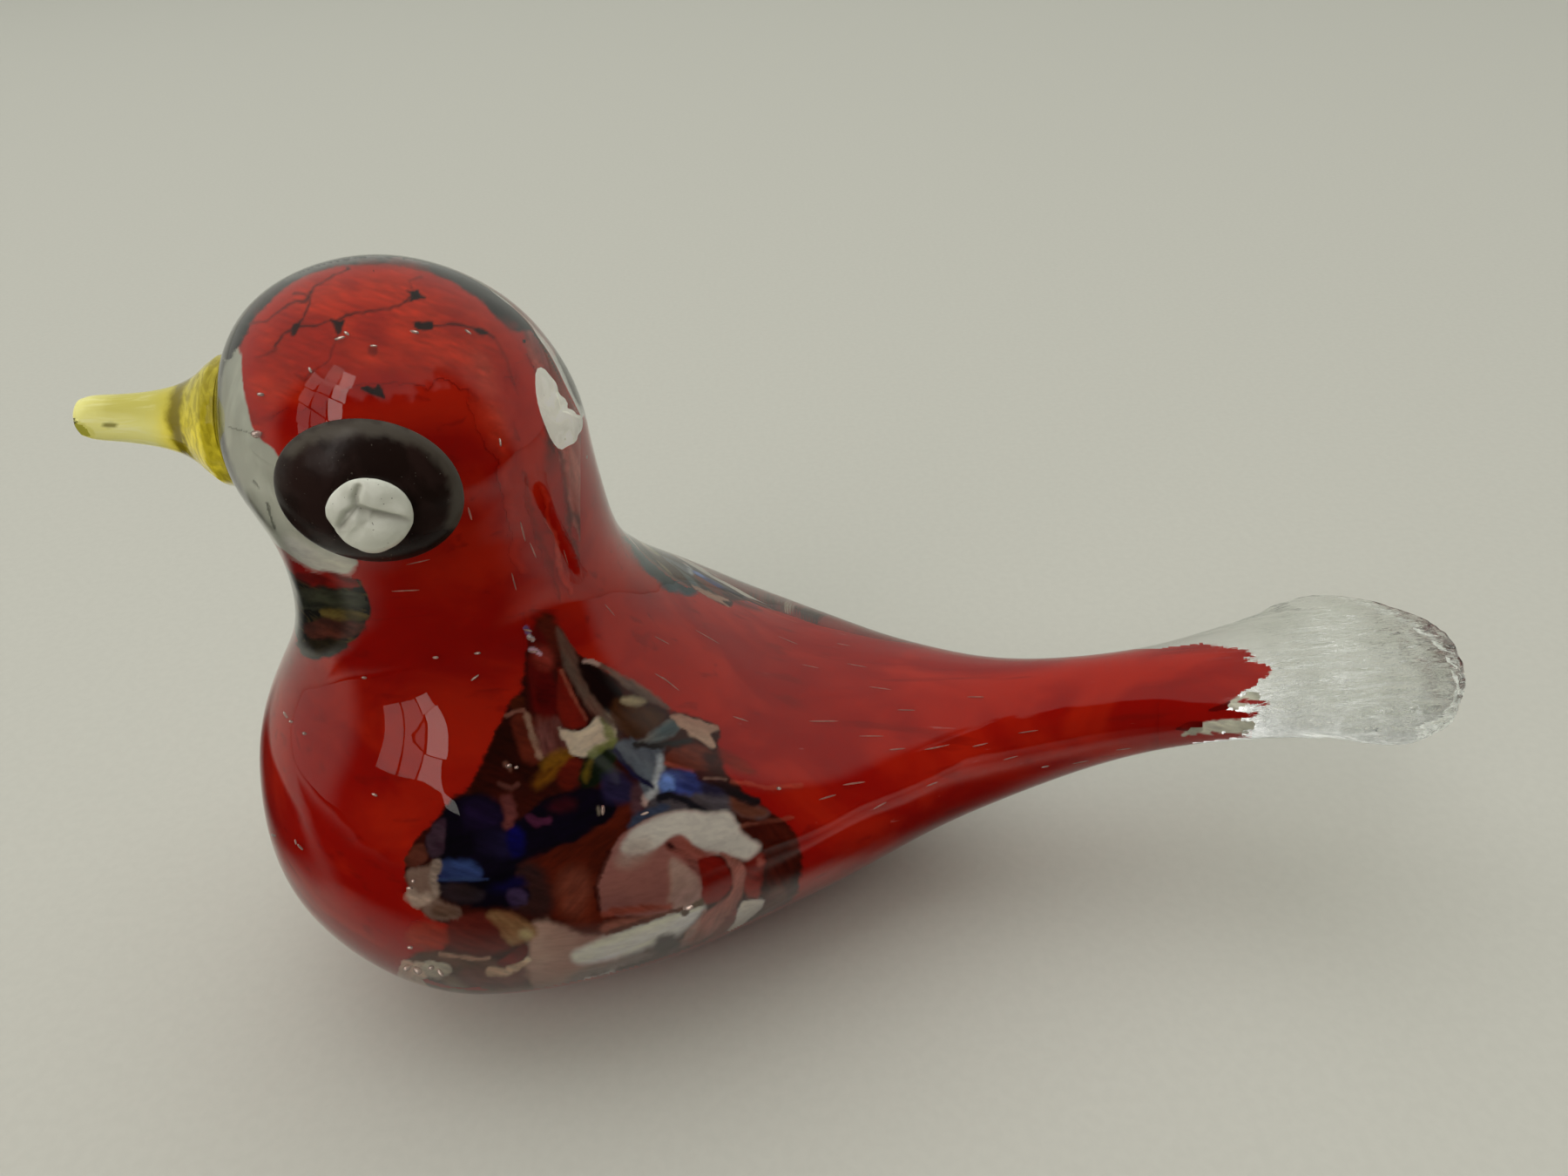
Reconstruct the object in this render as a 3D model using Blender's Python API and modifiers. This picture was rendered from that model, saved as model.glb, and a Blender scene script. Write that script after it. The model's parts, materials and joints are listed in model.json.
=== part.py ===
"""A glass bird paperweight: a solid, clear-cased body with a drawn-out tail, a beak applied to the
face and, on each side of the head, a dark pressed disc for the eye with a pale dot on it.

The bird looks along -X and rests on a small flat under its belly. Sizes are in metres, +Z is up,
and the origin is the middle of the underside of the whole bird's box.
"""

import math
from collections import namedtuple

import bmesh
import bpy
from mathutils import Matrix, Vector

# Glass body
BODY_LENGTH = 0.1219  # breast to tail tip
BODY_HEIGHT = 0.0720  # belly to crown
FOREHEAD_WIDTH = 0.0236
HEAD_WIDTH = 0.0324
NECK_WIDTH = 0.0302
BREAST_WIDTH = 0.0535
STEM_WIDTH = 0.0118  # tail where it is narrowest
TAIL_WIDTH = 0.0246  # fan at the end of the tail
FOOT_DEPTH = 0.0007  # glass ground away under the belly for the resting flat

# Beak
BEAK_LENGTH = 0.0134  # face to tip
BEAK_TIP_DIAMETER = 0.0034
BEAK_TIP_ROUND = 0.0010  # length of the rounded end
BEAK_SHAFT_DIAMETER = 0.0046  # shaft where its taper ends
BEAK_CREASE_DIAMETER = 0.0057
BEAK_CREASE_DEPTH = 0.00012
BEAK_CREASE_LENGTH = 0.0016  # from the shaft's end to the flare
BEAK_FLANGE_DIAMETER = 0.0118  # flared foot that is pressed on the face
BEAK_FLANGE_LENGTH = 0.0050  # face to crease
BEAK_SHAFT_HOLLOW = 1.2  # how late the shaft thickens: 1 is a straight cone
BEAK_FLARE_HOLLOW = 1.15  # how late the flare opens: 1 is a straight cone
BEAK_RISE = math.radians(5)  # tip above the root
BEAK_HEIGHT_SHARE = 0.814  # of the body's height, where the beak's axis meets the face
TIP_CUT_DEPTH = 0.0002  # sheared corner of the tip, along the shear's own normal
TIP_CUT_NORMAL = (-0.72, -0.40, -0.57)

# Eyes
EYE_WIDTH = 0.0133
EYE_HEIGHT = 0.0108
EYE_TILT = math.radians(-15)  # the disc's tailward end is the lower one
EYE_THICKNESS = 0.0018
EYE_EDGE = 0.0008  # height of the disc's widest rim above the head
EYE_TURN = math.radians(96)  # from the beak round to the side of the head
DOT_DIAMETER = 0.0052
DOT_THICKNESS = 0.0012
DOT_EDGE = 0.0005
DOT_OFFSET = (0.0003, -0.0009)  # from the disc's middle: towards the tail, and up
CREASE_DEPTH = 0.0004  # three pinched lines that meet in the middle of the dot
CREASE_REACH = 0.8  # of the dot's radius
CREASE_WIDTH = 0.0005
CREASE_ANGLES = [math.radians(angle) for angle in (20, 125, 215)]

# A pressed blob of glass: the higher the power, the flatter its middle and the rounder its rim
TOP_POWER = 2.6
UNDERSIDE_POWER = 8

# Fits and fineness
SEAT_GAP = 0.0003  # between an applied piece and the glass under it
RING_COUNT = 62  # round the body, from crown to tail tip
RING_SIDES = 40
DISC_SIDES = 32
DOT_SIDES = 24
DISC_BANDS = 12
BEAK_SIDES = 36
BEAK_BANDS = 4

# A section of the body is an oval. Its back and front points are shares of the body's length from
# the breast and of its height from the belly, its width is across the bird, and its fullness is how
# far it swells past a plain ellipse between those points.
Section = namedtuple("Section", "name back front width fullness")

SECTIONS = (
    Section("crown", (0.172, 1.000), (0.172, 1.000), 0.0, 0.0),
    Section("forehead", (0.262, 0.921), (0.075, 0.946), FOREHEAD_WIDTH, 0.0),
    Section("eyes", (0.295, 0.821), (0.046, 0.821), HEAD_WIDTH, 0.0),
    Section("cheeks", (0.303, 0.716), (0.064, 0.676), NECK_WIDTH, 0.0),
    Section("throat", (0.313, 0.611), (0.056, 0.549), NECK_WIDTH, 0.01),
    Section("shoulders", (0.341, 0.527), (0.009, 0.403), 0.76 * BREAST_WIDTH, 0.04),
    Section("breast", (0.386, 0.464), (0.007, 0.219), 0.95 * BREAST_WIDTH, 0.06),
    Section("belly", (0.437, 0.412), (0.077, 0.068), BREAST_WIDTH, 0.07),
    Section("wings", (0.499, 0.383), (0.219, 0.003), 0.83 * BREAST_WIDTH, 0.07),
    Section("rump", (0.565, 0.369), (0.401, 0.033), 0.55 * BREAST_WIDTH, 0.05),
    Section("tail root", (0.645, 0.366), (0.581, 0.134), 1.32 * STEM_WIDTH, 0.02),
    Section("tail stem", (0.747, 0.379), (0.739, 0.231), STEM_WIDTH, 0.0),
    Section("fan root", (0.851, 0.395), (0.861, 0.288), 0.73 * TAIL_WIDTH, 0.0),
    Section("fan", (0.933, 0.402), (0.938, 0.317), TAIL_WIDTH, 0.0),
    Section("fan edge", (0.979, 0.401), (0.978, 0.339), 0.72 * TAIL_WIDTH, 0.0),
    Section("tail tip", (1.002, 0.395), (1.002, 0.395), 0.0, 0.0),
)


def section_row(section):
    """The section as one vector: back x and z, front x and z, half width, fullness."""
    (back_x, back_z), (front_x, front_z) = section.back, section.front
    return Vector((
        back_x * BODY_LENGTH,
        back_z * BODY_HEIGHT,
        front_x * BODY_LENGTH,
        front_z * BODY_HEIGHT,
        section.width / 2,
        section.fullness,
    ))


def past_the_pole(row):
    """The neighbouring section seen over the pole, so that the body closes in a round dome."""
    return Vector((row[2], row[3], row[0], row[1], -row[4], row[5]))


def step_between(first, second):
    """The mean way that the back, the front and the two sides go from one section to the next."""
    back = math.hypot(second[0] - first[0], second[1] - first[1])
    front = math.hypot(second[2] - first[2], second[3] - first[3])
    middle_x = (second[0] + second[2] - first[0] - first[2]) / 2
    middle_z = (second[1] + second[3] - first[1] - first[3]) / 2
    side = math.hypot(middle_x, middle_z, second[4] - first[4])
    return (back + front + 2 * side) / 4


def body_curve():
    """The section rows with one beyond each pole, and how far along the body each one lies."""
    rows = [section_row(section) for section in SECTIONS]
    rows = [past_the_pole(rows[1])] + rows + [past_the_pole(rows[-2])]
    places = [0.0]
    for first, second in zip(rows, rows[1:]):
        places.append(places[-1] + step_between(first, second))
    crown = places[1]
    return rows, [place - crown for place in places]


ROWS, PLACES = body_curve()
BODY_RUN = PLACES[-2]


def slope_at(index):
    """The rows' slope at one section, weighted by the steps on its two sides."""
    before = PLACES[index] - PLACES[index - 1]
    after = PLACES[index + 1] - PLACES[index]
    rise_before = (ROWS[index] - ROWS[index - 1]) / before
    rise_after = (ROWS[index + 1] - ROWS[index]) / after
    return (rise_before * after + rise_after * before) / (before + after)


def row_at(place):
    """The section row at any place between the crown, 0, and the tail tip, BODY_RUN."""
    index = 1
    while index < len(ROWS) - 3 and place > PLACES[index + 1]:
        index += 1
    step = PLACES[index + 1] - PLACES[index]
    share = (place - PLACES[index]) / step
    square, cube = share ** 2, share ** 3
    return (
        (2 * cube - 3 * square + 1) * ROWS[index]
        + (cube - 2 * square + share) * step * slope_at(index)
        + (3 * square - 2 * cube) * ROWS[index + 1]
        + (cube - square) * step * slope_at(index + 1)
    )


def skin_point(place, turn):
    """A point of the body's surface. turn runs round a section from its front point, 0."""
    back_x, back_z, front_x, front_z, half_width, fullness = row_at(place)
    swell = 1 + fullness * math.sin(2 * turn) ** 2
    ahead = math.cos(turn) * swell
    return Vector((
        (back_x + front_x) / 2 + (front_x - back_x) / 2 * ahead,
        half_width * math.sin(turn) * swell,
        (back_z + front_z) / 2 + (front_z - back_z) / 2 * ahead,
    ))


def skin_slopes(place, turn):
    """How the surface point moves with place and with turn."""
    small = 1e-4
    here = skin_point(place, turn)
    along = (skin_point(place + small, turn) - here) / small
    around = (skin_point(place, turn + small) - here) / small
    return along, around


def skin_normal(place, turn):
    """The surface's outward direction."""
    along, around = skin_slopes(place, turn)
    return around.cross(along).normalized()


def section_place(name):
    """How far along the body a named section lies."""
    names = [section.name for section in SECTIONS]
    return PLACES[names.index(name) + 1]


def face_place(height):
    """Where the front of the head is at this height."""
    low, high = 0.0, section_place("throat")
    for _ in range(40):
        middle = (low + high) / 2
        if skin_point(middle, 0.0).z > height:
            low = middle
        else:
            high = middle
    return low


def body_shell(grow=0.0):
    """The closed skin of the body as a bmesh, pushed outwards by grow."""
    shell = bmesh.new()
    rings = []
    for ring in range(RING_COUNT):
        place = BODY_RUN * (ring + 1) / (RING_COUNT + 1)
        turns = [math.tau * side / RING_SIDES for side in range(RING_SIDES)]
        rings.append([shell.verts.new(skin_point(place, turn)) for turn in turns])
    for ring, following in zip(rings, rings[1:]):
        for side in range(RING_SIDES):
            beside = (side + 1) % RING_SIDES
            shell.faces.new((ring[side], ring[beside], following[beside], following[side]))
    for ring, place in ((rings[0], 0.0), (rings[-1], BODY_RUN)):
        pole = shell.verts.new(skin_point(place, 0.0))
        for side in range(RING_SIDES):
            shell.faces.new((pole, ring[side], ring[(side + 1) % RING_SIDES]))
    bmesh.ops.recalc_face_normals(shell, faces=shell.faces)
    shell.normal_update()
    for vertex in shell.verts:
        vertex.co += vertex.normal * grow
    return shell


def grind_foot(shell):
    """Cuts the underside flat, FOOT_DEPTH above the lowest glass."""
    lowest = min(vertex.co.z for vertex in shell.verts)
    bmesh.ops.bisect_plane(
        shell,
        geom=shell.verts[:] + shell.edges[:] + shell.faces[:],
        plane_co=(0, 0, lowest + FOOT_DEPTH),
        plane_no=(0, 0, -1),
        clear_outer=True,
    )
    rim = [edge for edge in shell.edges if edge.is_boundary]
    bmesh.ops.contextual_create(shell, geom=rim)
    bmesh.ops.recalc_face_normals(shell, faces=shell.faces)


def glass_material(name, colour, roughness, transmission=0.0):
    """A plain glass finish."""
    material = bpy.data.materials.new(name)
    material.use_nodes = True
    shader = material.node_tree.nodes["Principled BSDF"]
    shader.inputs["Base Color"].default_value = (*colour, 1.0)
    shader.inputs["Roughness"].default_value = roughness
    shader.inputs["Metallic"].default_value = 0.0
    shader.inputs["Transmission Weight"].default_value = transmission
    material.diffuse_color = (*colour, 1.0)
    return material


def add_piece(name, shape, material, collection, parent):
    """Makes a bmesh an object with its finish, shaded smooth up to a sharp edge."""
    mesh = bpy.data.meshes.new(name)
    shape.to_mesh(mesh)
    shape.free()
    mesh.materials.append(material)
    mesh.shade_smooth()
    mesh.set_sharp_from_angle(angle=math.radians(45))
    piece = bpy.data.objects.new(name, mesh)
    collection.objects.link(piece)
    piece.parent = parent
    return piece


def hide_cutter(cutter):
    """Leaves a cutter out of the model."""
    cutter.hide_render = True
    cutter.display_type = "WIRE"


def cut_with(piece, cutter):
    """Takes the cutter's shape out of the piece."""
    cut = piece.modifiers.new(cutter.name, "BOOLEAN")
    cut.operation = "DIFFERENCE"
    cut.solver = "EXACT"
    cut.object = cutter


def make_body(collection, parent):
    """The solid head, body and tail."""
    shell = body_shell()
    grind_foot(shell)
    finish = glass_material("cased red glass", (0.42, 0.025, 0.012), 0.03)
    return add_piece("glass_body", shell, finish, collection, parent)


def beak_profile():
    """Radius and distance from the face, from the tip down to inside the head."""
    tip, shaft = BEAK_TIP_DIAMETER / 2, BEAK_SHAFT_DIAMETER / 2
    crease, flange = BEAK_CREASE_DIAMETER / 2, BEAK_FLANGE_DIAMETER / 2
    shaft_top = BEAK_LENGTH - BEAK_TIP_ROUND
    shaft_foot = BEAK_FLANGE_LENGTH + BEAK_CREASE_LENGTH
    points = []
    for band in range(BEAK_BANDS):
        angle = math.pi / 2 * band / BEAK_BANDS
        points.append((tip * math.sin(angle), shaft_top + BEAK_TIP_ROUND * math.cos(angle)))
    for band in range(BEAK_BANDS + 1):
        share = band / BEAK_BANDS
        radius = tip + (shaft - tip) * share ** BEAK_SHAFT_HOLLOW
        points.append((radius, shaft_top + (shaft_foot - shaft_top) * share))
    points.append((crease, BEAK_FLANGE_LENGTH + BEAK_CREASE_LENGTH / 3))
    throat = crease - BEAK_CREASE_DEPTH
    for band in range(2 * BEAK_BANDS + 1):
        share = band / (2 * BEAK_BANDS)
        radius = throat + (flange - throat) * share ** BEAK_FLARE_HOLLOW
        points.append((radius, BEAK_FLANGE_LENGTH * (1 - share)))
    points.append((flange, -flange))
    points.append((0.0, -flange))
    return points


def make_beak(collection, cutters, parent):
    """The flared beak, seated on the face and sheared at its tip."""
    place = face_place(BEAK_HEIGHT_SHARE * BODY_HEIGHT)
    root = skin_point(place, 0.0)
    profile = bmesh.new()
    points = [profile.verts.new((radius, 0, along)) for radius, along in beak_profile()]
    for first, second in zip(points, points[1:]):
        profile.edges.new((first, second))
    finish = glass_material("yellow-green glass", (0.42, 0.36, 0.04), 0.08)
    beak = add_piece("beak", profile, finish, collection, parent)
    beak.location = root
    ahead = Vector((-math.cos(BEAK_RISE), 0, math.sin(BEAK_RISE)))
    beak.rotation_euler = ahead.to_track_quat("Z", "Y").to_euler()

    turned = beak.modifiers.new("turned", "SCREW")
    turned.steps = turned.render_steps = BEAK_SIDES
    turned.use_merge_vertices = True
    turned.merge_threshold = 0.00001
    turned.use_normal_calculate = True

    seat = add_piece("beak_seat_cutter", body_shell(SEAT_GAP), finish, cutters, parent)
    hide_cutter(seat)
    cut_with(beak, seat)

    block = bmesh.new()
    size = 2 * BEAK_LENGTH
    bmesh.ops.create_cube(block, size=size)
    shear = add_piece("beak_tip_cutter", block, finish, cutters, parent)
    hide_cutter(shear)
    normal = Vector(TIP_CUT_NORMAL).normalized()
    shear.rotation_euler = normal.to_track_quat("Z", "Y").to_euler()
    reach = BEAK_TIP_DIAMETER / 2 - TIP_CUT_DEPTH
    middle = root + ahead * (BEAK_LENGTH - BEAK_TIP_DIAMETER / 2)
    shear.location = middle + normal * (reach + size / 2)
    cut_with(beak, shear)
    return beak


class Seat:
    """A place on the side of the head that a disc is pressed on, with its own axes."""

    def __init__(self, side):
        """side is -1 for the bird's left, and 1 for its right."""
        self.side = side
        self.place = section_place("eyes")
        self.turn = side * EYE_TURN
        self.middle = skin_point(self.place, self.turn)
        self.out = skin_normal(self.place, self.turn)
        self.up = (Vector((0, 0, 1)) - self.out * self.out.z).normalized()
        across = self.up.cross(self.out)
        self.tailward = across * -side
        self.frame = Matrix((across, self.up, self.out)).transposed().to_4x4()
        self.frame.translation = self.middle

    def at(self, tailward, up):
        """The place and turn on the skin that lie this far from the middle, across the disc."""
        place, turn = self.place, self.turn
        for _ in range(8):
            off = skin_point(place, turn) - self.middle
            miss_across = tailward - off.dot(self.tailward)
            miss_up = up - off.dot(self.up)
            along, around = skin_slopes(place, turn)
            a, b = along.dot(self.tailward), around.dot(self.tailward)
            c, d = along.dot(self.up), around.dot(self.up)
            across = a * d - b * c
            place += (d * miss_across - b * miss_up) / across
            turn += (a * miss_up - c * miss_across) / across
        return place, turn

    def lift(self, tailward, up, height):
        """The point this high over the skin, in the seat's own axes."""
        place, turn = self.at(tailward, up)
        point = skin_point(place, turn) + skin_normal(place, turn) * height
        return self.frame.inverted() @ point


def pressed(edge, thickness, vertex):
    """The height over its seat of a pressed blob, at a point of a unit ball."""
    reach = min(math.hypot(vertex.x, vertex.y), 1.0)
    if vertex.z >= 0:
        return edge + (thickness - edge) * math.sqrt(1 - reach ** TOP_POWER)
    return edge * (1 - math.sqrt(1 - reach ** UNDERSIDE_POWER))


def on_disc(ball_x, ball_y):
    """Where a point of the unit ball lies across the tilted oval disc: tailward and up."""
    across, upright = ball_x * EYE_WIDTH / 2, ball_y * EYE_HEIGHT / 2
    tilt_cos, tilt_sin = math.cos(EYE_TILT), math.sin(EYE_TILT)
    return across * tilt_cos - upright * tilt_sin, across * tilt_sin + upright * tilt_cos


def eye_top(tailward, up):
    """The height of the disc's top over the skin."""
    tilt_cos, tilt_sin = math.cos(EYE_TILT), math.sin(EYE_TILT)
    across = tailward * tilt_cos + up * tilt_sin
    upright = up * tilt_cos - tailward * tilt_sin
    reach = min(math.hypot(across / (EYE_WIDTH / 2), upright / (EYE_HEIGHT / 2)), 1.0)
    return SEAT_GAP + pressed(EYE_EDGE, EYE_THICKNESS, Vector((reach, 0, 0)))


def crease(tailward, up):
    """How deep the three pinched lines of the dot are at a point, from its middle."""
    deepest = 0.0
    for angle in CREASE_ANGLES:
        run = tailward * math.cos(angle) + up * math.sin(angle)
        run = min(max(run, 0.0), CREASE_REACH * DOT_DIAMETER / 2)
        miss = math.hypot(tailward - run * math.cos(angle), up - run * math.sin(angle))
        deepest = max(deepest, CREASE_DEPTH * math.exp(-((miss / CREASE_WIDTH) ** 2)))
    return deepest


def pressed_ball(sides, seat, move):
    """A ball squeezed on its seat. move gives each point its place across the seat and its height."""
    ball = bmesh.new()
    bmesh.ops.create_uvsphere(ball, u_segments=sides, v_segments=DISC_BANDS, radius=1.0)
    for vertex in ball.verts:
        vertex.co = seat.lift(*move(vertex.co))
    if seat.side > 0:
        # The right-hand piece is the left-hand one mirrored, which turns its faces inwards.
        bmesh.ops.reverse_faces(ball, faces=ball.faces)
    return ball


def make_eye(side, side_name, collection, parent):
    """The dark disc and its dot on one side of the head."""
    seat = Seat(side)

    def disc_point(vertex):
        height = SEAT_GAP + pressed(EYE_EDGE, EYE_THICKNESS, vertex)
        return *on_disc(vertex.x, vertex.y), height

    def dot_point(vertex):
        radius = DOT_DIAMETER / 2
        tailward, up = vertex.x * radius, vertex.y * radius
        height = pressed(DOT_EDGE, DOT_THICKNESS, vertex)
        if vertex.z > 0:
            height -= crease(tailward, up) * vertex.z
        tailward, up = tailward + DOT_OFFSET[0], up + DOT_OFFSET[1]
        return tailward, up, eye_top(tailward, up) + SEAT_GAP + height

    dark = glass_material(f"dark brown glass {side_name}", (0.018, 0.010, 0.009), 0.05)
    pale = glass_material(f"white glass {side_name}", (0.60, 0.62, 0.58), 0.12)
    disc = add_piece(
        f"eye_disc_{side_name}", pressed_ball(DISC_SIDES, seat, disc_point), dark, collection, parent
    )
    dot = add_piece(
        f"eye_dot_{side_name}", pressed_ball(DOT_SIDES, seat, dot_point), pale, collection, parent
    )
    for piece in (disc, dot):
        piece.matrix_local = seat.frame
    return [disc, dot]


def stand_on_origin(bird, pieces):
    """Moves the whole bird so that the middle of its box's underside is the origin."""
    bpy.context.view_layer.update()
    graph = bpy.context.evaluated_depsgraph_get()
    corners = []
    for piece in pieces:
        shown = piece.evaluated_get(graph)
        corners += [shown.matrix_world @ Vector(corner) for corner in shown.bound_box]
    ends = [corner.x for corner in corners]
    bird.location = (-(min(ends) + max(ends)) / 2, 0, -min(corner.z for corner in corners))


def main():
    """Clears the scene and builds the bird."""
    for old in list(bpy.data.objects):
        bpy.data.objects.remove(old)
    collection = bpy.data.collections.new("glass bird paperweight")
    cutters = bpy.data.collections.new("cutters")
    for group in (collection, cutters):
        bpy.context.scene.collection.children.link(group)
    bird = bpy.data.objects.new("bird", None)
    collection.objects.link(bird)
    pieces = [make_body(collection, bird), make_beak(collection, cutters, bird)]
    for side, side_name in ((-1, "left"), (1, "right")):
        pieces += make_eye(side, side_name, collection, bird)
    stand_on_origin(bird, pieces)


main()
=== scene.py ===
"""Dresses the glass dove paperweight: clear casing, red coat, coloured chips, beak, eyes and seeds.

The bird looks along -X, its left side is towards -Y, and it rests on z = 0. Sizes are in
millimetres where a name or a comment says so, and in metres otherwise. Outlines of the coloured
glass are in pixels of the photograph, 1800 by 1350, and are laid on the coat along the light's
path through the clear casing.
"""

import json
import logging
import math
from dataclasses import dataclass, field
from enum import Enum

import bpy
import numpy as np
from mathutils import Matrix, Vector, noise
from mathutils.bvhtree import BVHTree
from mathutils.interpolate import poly_3d_calc

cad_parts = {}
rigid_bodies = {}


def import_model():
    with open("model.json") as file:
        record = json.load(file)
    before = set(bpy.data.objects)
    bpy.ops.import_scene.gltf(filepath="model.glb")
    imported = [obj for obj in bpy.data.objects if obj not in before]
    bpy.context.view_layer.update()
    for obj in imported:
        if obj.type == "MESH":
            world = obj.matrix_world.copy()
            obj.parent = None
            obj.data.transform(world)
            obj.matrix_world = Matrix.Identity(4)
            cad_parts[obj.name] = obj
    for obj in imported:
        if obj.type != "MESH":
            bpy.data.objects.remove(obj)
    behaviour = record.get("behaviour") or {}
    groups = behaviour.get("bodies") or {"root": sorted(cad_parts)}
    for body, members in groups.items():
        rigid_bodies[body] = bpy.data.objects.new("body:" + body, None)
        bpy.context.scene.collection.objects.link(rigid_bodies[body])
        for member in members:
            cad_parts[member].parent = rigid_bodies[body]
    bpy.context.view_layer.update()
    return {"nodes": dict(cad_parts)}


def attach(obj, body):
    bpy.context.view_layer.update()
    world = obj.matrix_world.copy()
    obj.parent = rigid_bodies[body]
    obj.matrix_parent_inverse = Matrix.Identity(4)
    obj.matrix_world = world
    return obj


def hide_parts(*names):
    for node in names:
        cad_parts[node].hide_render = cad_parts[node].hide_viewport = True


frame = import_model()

LOG = logging.getLogger("glass dove")
MM = 0.001
GLASS_INDEX = 1.5
MERGE_REACH = 0.00001  # metres within which two corners are one
QUAD_ANGLE = 1.2  # radians by which the two halves of a four-sided face may differ
START_SIZE = 0.005  # metres, the size of a start shape before its corners are placed
TRACE_STEP = 0.00001  # metres that a ray starts past the surface that it has just crossed
# How much lighter, and how much harder in contrast, the glass itself is than it shows in the
# photograph, where it lies deep in its casing under a haze of reflections, and the lightest it gets
PHOTO_GAIN = 4.0
PHOTO_CONTRAST = 1.22
BRIGHTEST = 0.92

Point = tuple[float, float]
Colour = tuple[float, float, float]


class Side(Enum):
    """One side of the bird, as the sign of its y."""

    LEFT = -1
    RIGHT = 1


class Blend(Enum):
    """How a colour is laid on the coat."""

    COVER = "cover"
    BARE = "bare"


# Shared tools


def linear(code: str, gain: float = 1.0, contrast: float = 1.0) -> Colour:
    """Turns a colour code into linear light.

    Args:
        code: Six hexadecimal digits, as the eye sees the colour.
        gain: How much lighter than that the glass is.
        contrast: The power that deepens the dark colours.

    Returns:
        Red, green and blue, at most BRIGHTEST.
    """
    parts = [int(code[i : i + 2], 16) / 255 for i in (0, 2, 4)]
    light = [part / 12.92 if part <= 0.04045 else ((part + 0.055) / 1.055) ** 2.4 for part in parts]
    return tuple(min(value**contrast * gain, BRIGHTEST) for value in light)


def deselect() -> None:
    """Leaves nothing selected."""
    for piece in bpy.context.view_layer.objects:
        piece.select_set(False)


def pick(piece: bpy.types.Object) -> None:
    """Selects one object alone and makes it the active one."""
    deselect()
    piece.select_set(True)
    bpy.context.view_layer.objects.active = piece


def edit_all(piece: bpy.types.Object) -> None:
    """Opens the piece in edit mode with all of it selected."""
    pick(piece)
    bpy.ops.object.mode_set(mode="EDIT")
    bpy.ops.mesh.select_all(action="SELECT")


def close_edit() -> None:
    """Goes back to object mode."""
    bpy.ops.object.mode_set(mode="OBJECT")


def choose_corners(piece: bpy.types.Object, chosen: np.ndarray) -> None:
    """Selects some corners of the piece, with the edges between them, and opens it in edit mode.

    Args:
        piece: The object.
        chosen: Whether each corner is selected.
    """
    pick(piece)
    bpy.ops.object.mode_set(mode="EDIT")
    bpy.ops.mesh.select_mode(type="VERT")
    bpy.ops.mesh.select_all(action="DESELECT")
    close_edit()
    for vertex, picked in zip(piece.data.vertices, chosen):
        vertex.select = bool(picked)
    for edge in piece.data.edges:
        edge.select = all(chosen[corner] for corner in edge.vertices)
    bpy.ops.object.mode_set(mode="EDIT")


def named(name: str) -> bpy.types.Object:
    """Names the object that was just made, and gives it."""
    piece = bpy.context.object
    piece.name = piece.data.name = name
    return piece


def face_out(piece: bpy.types.Object) -> None:
    """Turns each face of the piece to its outside."""
    edit_all(piece)
    bpy.ops.mesh.normals_make_consistent(inside=False)
    close_edit()


def apply_modifiers(piece: bpy.types.Object) -> None:
    """Applies each modifier of the piece, from the first to the last."""
    pick(piece)
    for modifier in list(piece.modifiers):
        bpy.ops.object.modifier_apply(modifier=modifier.name)


def smooth(piece: bpy.types.Object, levels: int) -> None:
    """Adds a Subdivision Surface and applies it.

    Args:
        piece: The object to smooth.
        levels: How many times its faces are divided.
    """
    subdivision = piece.modifiers.new("smooth", "SUBSURF")
    subdivision.levels = subdivision.render_levels = levels
    apply_modifiers(piece)


def node_copy(node: str, name: str) -> bpy.types.Object:
    """Copies a CAD node's solid as a clean mesh of mostly four-sided faces.

    Args:
        node: The CAD node's name.
        name: The copy's name.

    Returns:
        The copy, with its doubles merged.
    """
    source = frame["nodes"][node]
    mesh = source.data.copy()
    mesh.name = name
    mesh.materials.clear()
    piece = bpy.data.objects.new(name, mesh)
    bpy.context.scene.collection.objects.link(piece)
    edit_all(piece)
    bpy.ops.mesh.remove_doubles(threshold=MERGE_REACH)
    bpy.ops.mesh.tris_convert_to_quads(face_threshold=QUAD_ANGLE, shape_threshold=QUAD_ANGLE)
    close_edit()
    return piece


def shade(piece: bpy.types.Object) -> None:
    """Shades the piece smooth all over."""
    pick(piece)
    bpy.ops.object.shade_smooth()


def corners_of(piece: bpy.types.Object) -> np.ndarray:
    """The piece's vertex places, one row each."""
    places = np.empty(len(piece.data.vertices) * 3)
    piece.data.vertices.foreach_get("co", places)
    return places.reshape(-1, 3)


def set_corners(piece: bpy.types.Object, places: np.ndarray) -> None:
    """Moves the piece's vertices to these places."""
    piece.data.vertices.foreach_set("co", places.reshape(-1))
    piece.data.update()


def paint(piece: bpy.types.Object, name: str, values: np.ndarray) -> None:
    """Stores four numbers at each vertex as a colour attribute.

    Args:
        piece: The object that carries them.
        name: The attribute's name.
        values: One row of four for each vertex.
    """
    layer = piece.data.color_attributes.new(name=name, type="FLOAT_COLOR", domain="POINT")
    layer.data.foreach_set("color", values.astype(np.float32).reshape(-1))


def paint_share(piece: bpy.types.Object, name: str, share: np.ndarray) -> None:
    """Stores one number at each vertex as a grey colour attribute."""
    paint(piece, name, np.stack([share, share, share, np.ones(len(share))], axis=1))


def keep(piece: bpy.types.Object, slot: str, *replaced: str) -> None:
    """Makes the piece part of the bird.

    Args:
        piece: The finished object.
        slot: The record's material slot that its finish belongs to; not used.
        replaced: The CAD nodes that it stands for.
    """
    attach(piece, "root")
    if replaced:
        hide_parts(*replaced)
    LOG.info("%s: %d faces", piece.name, len(piece.data.polygons))


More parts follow.
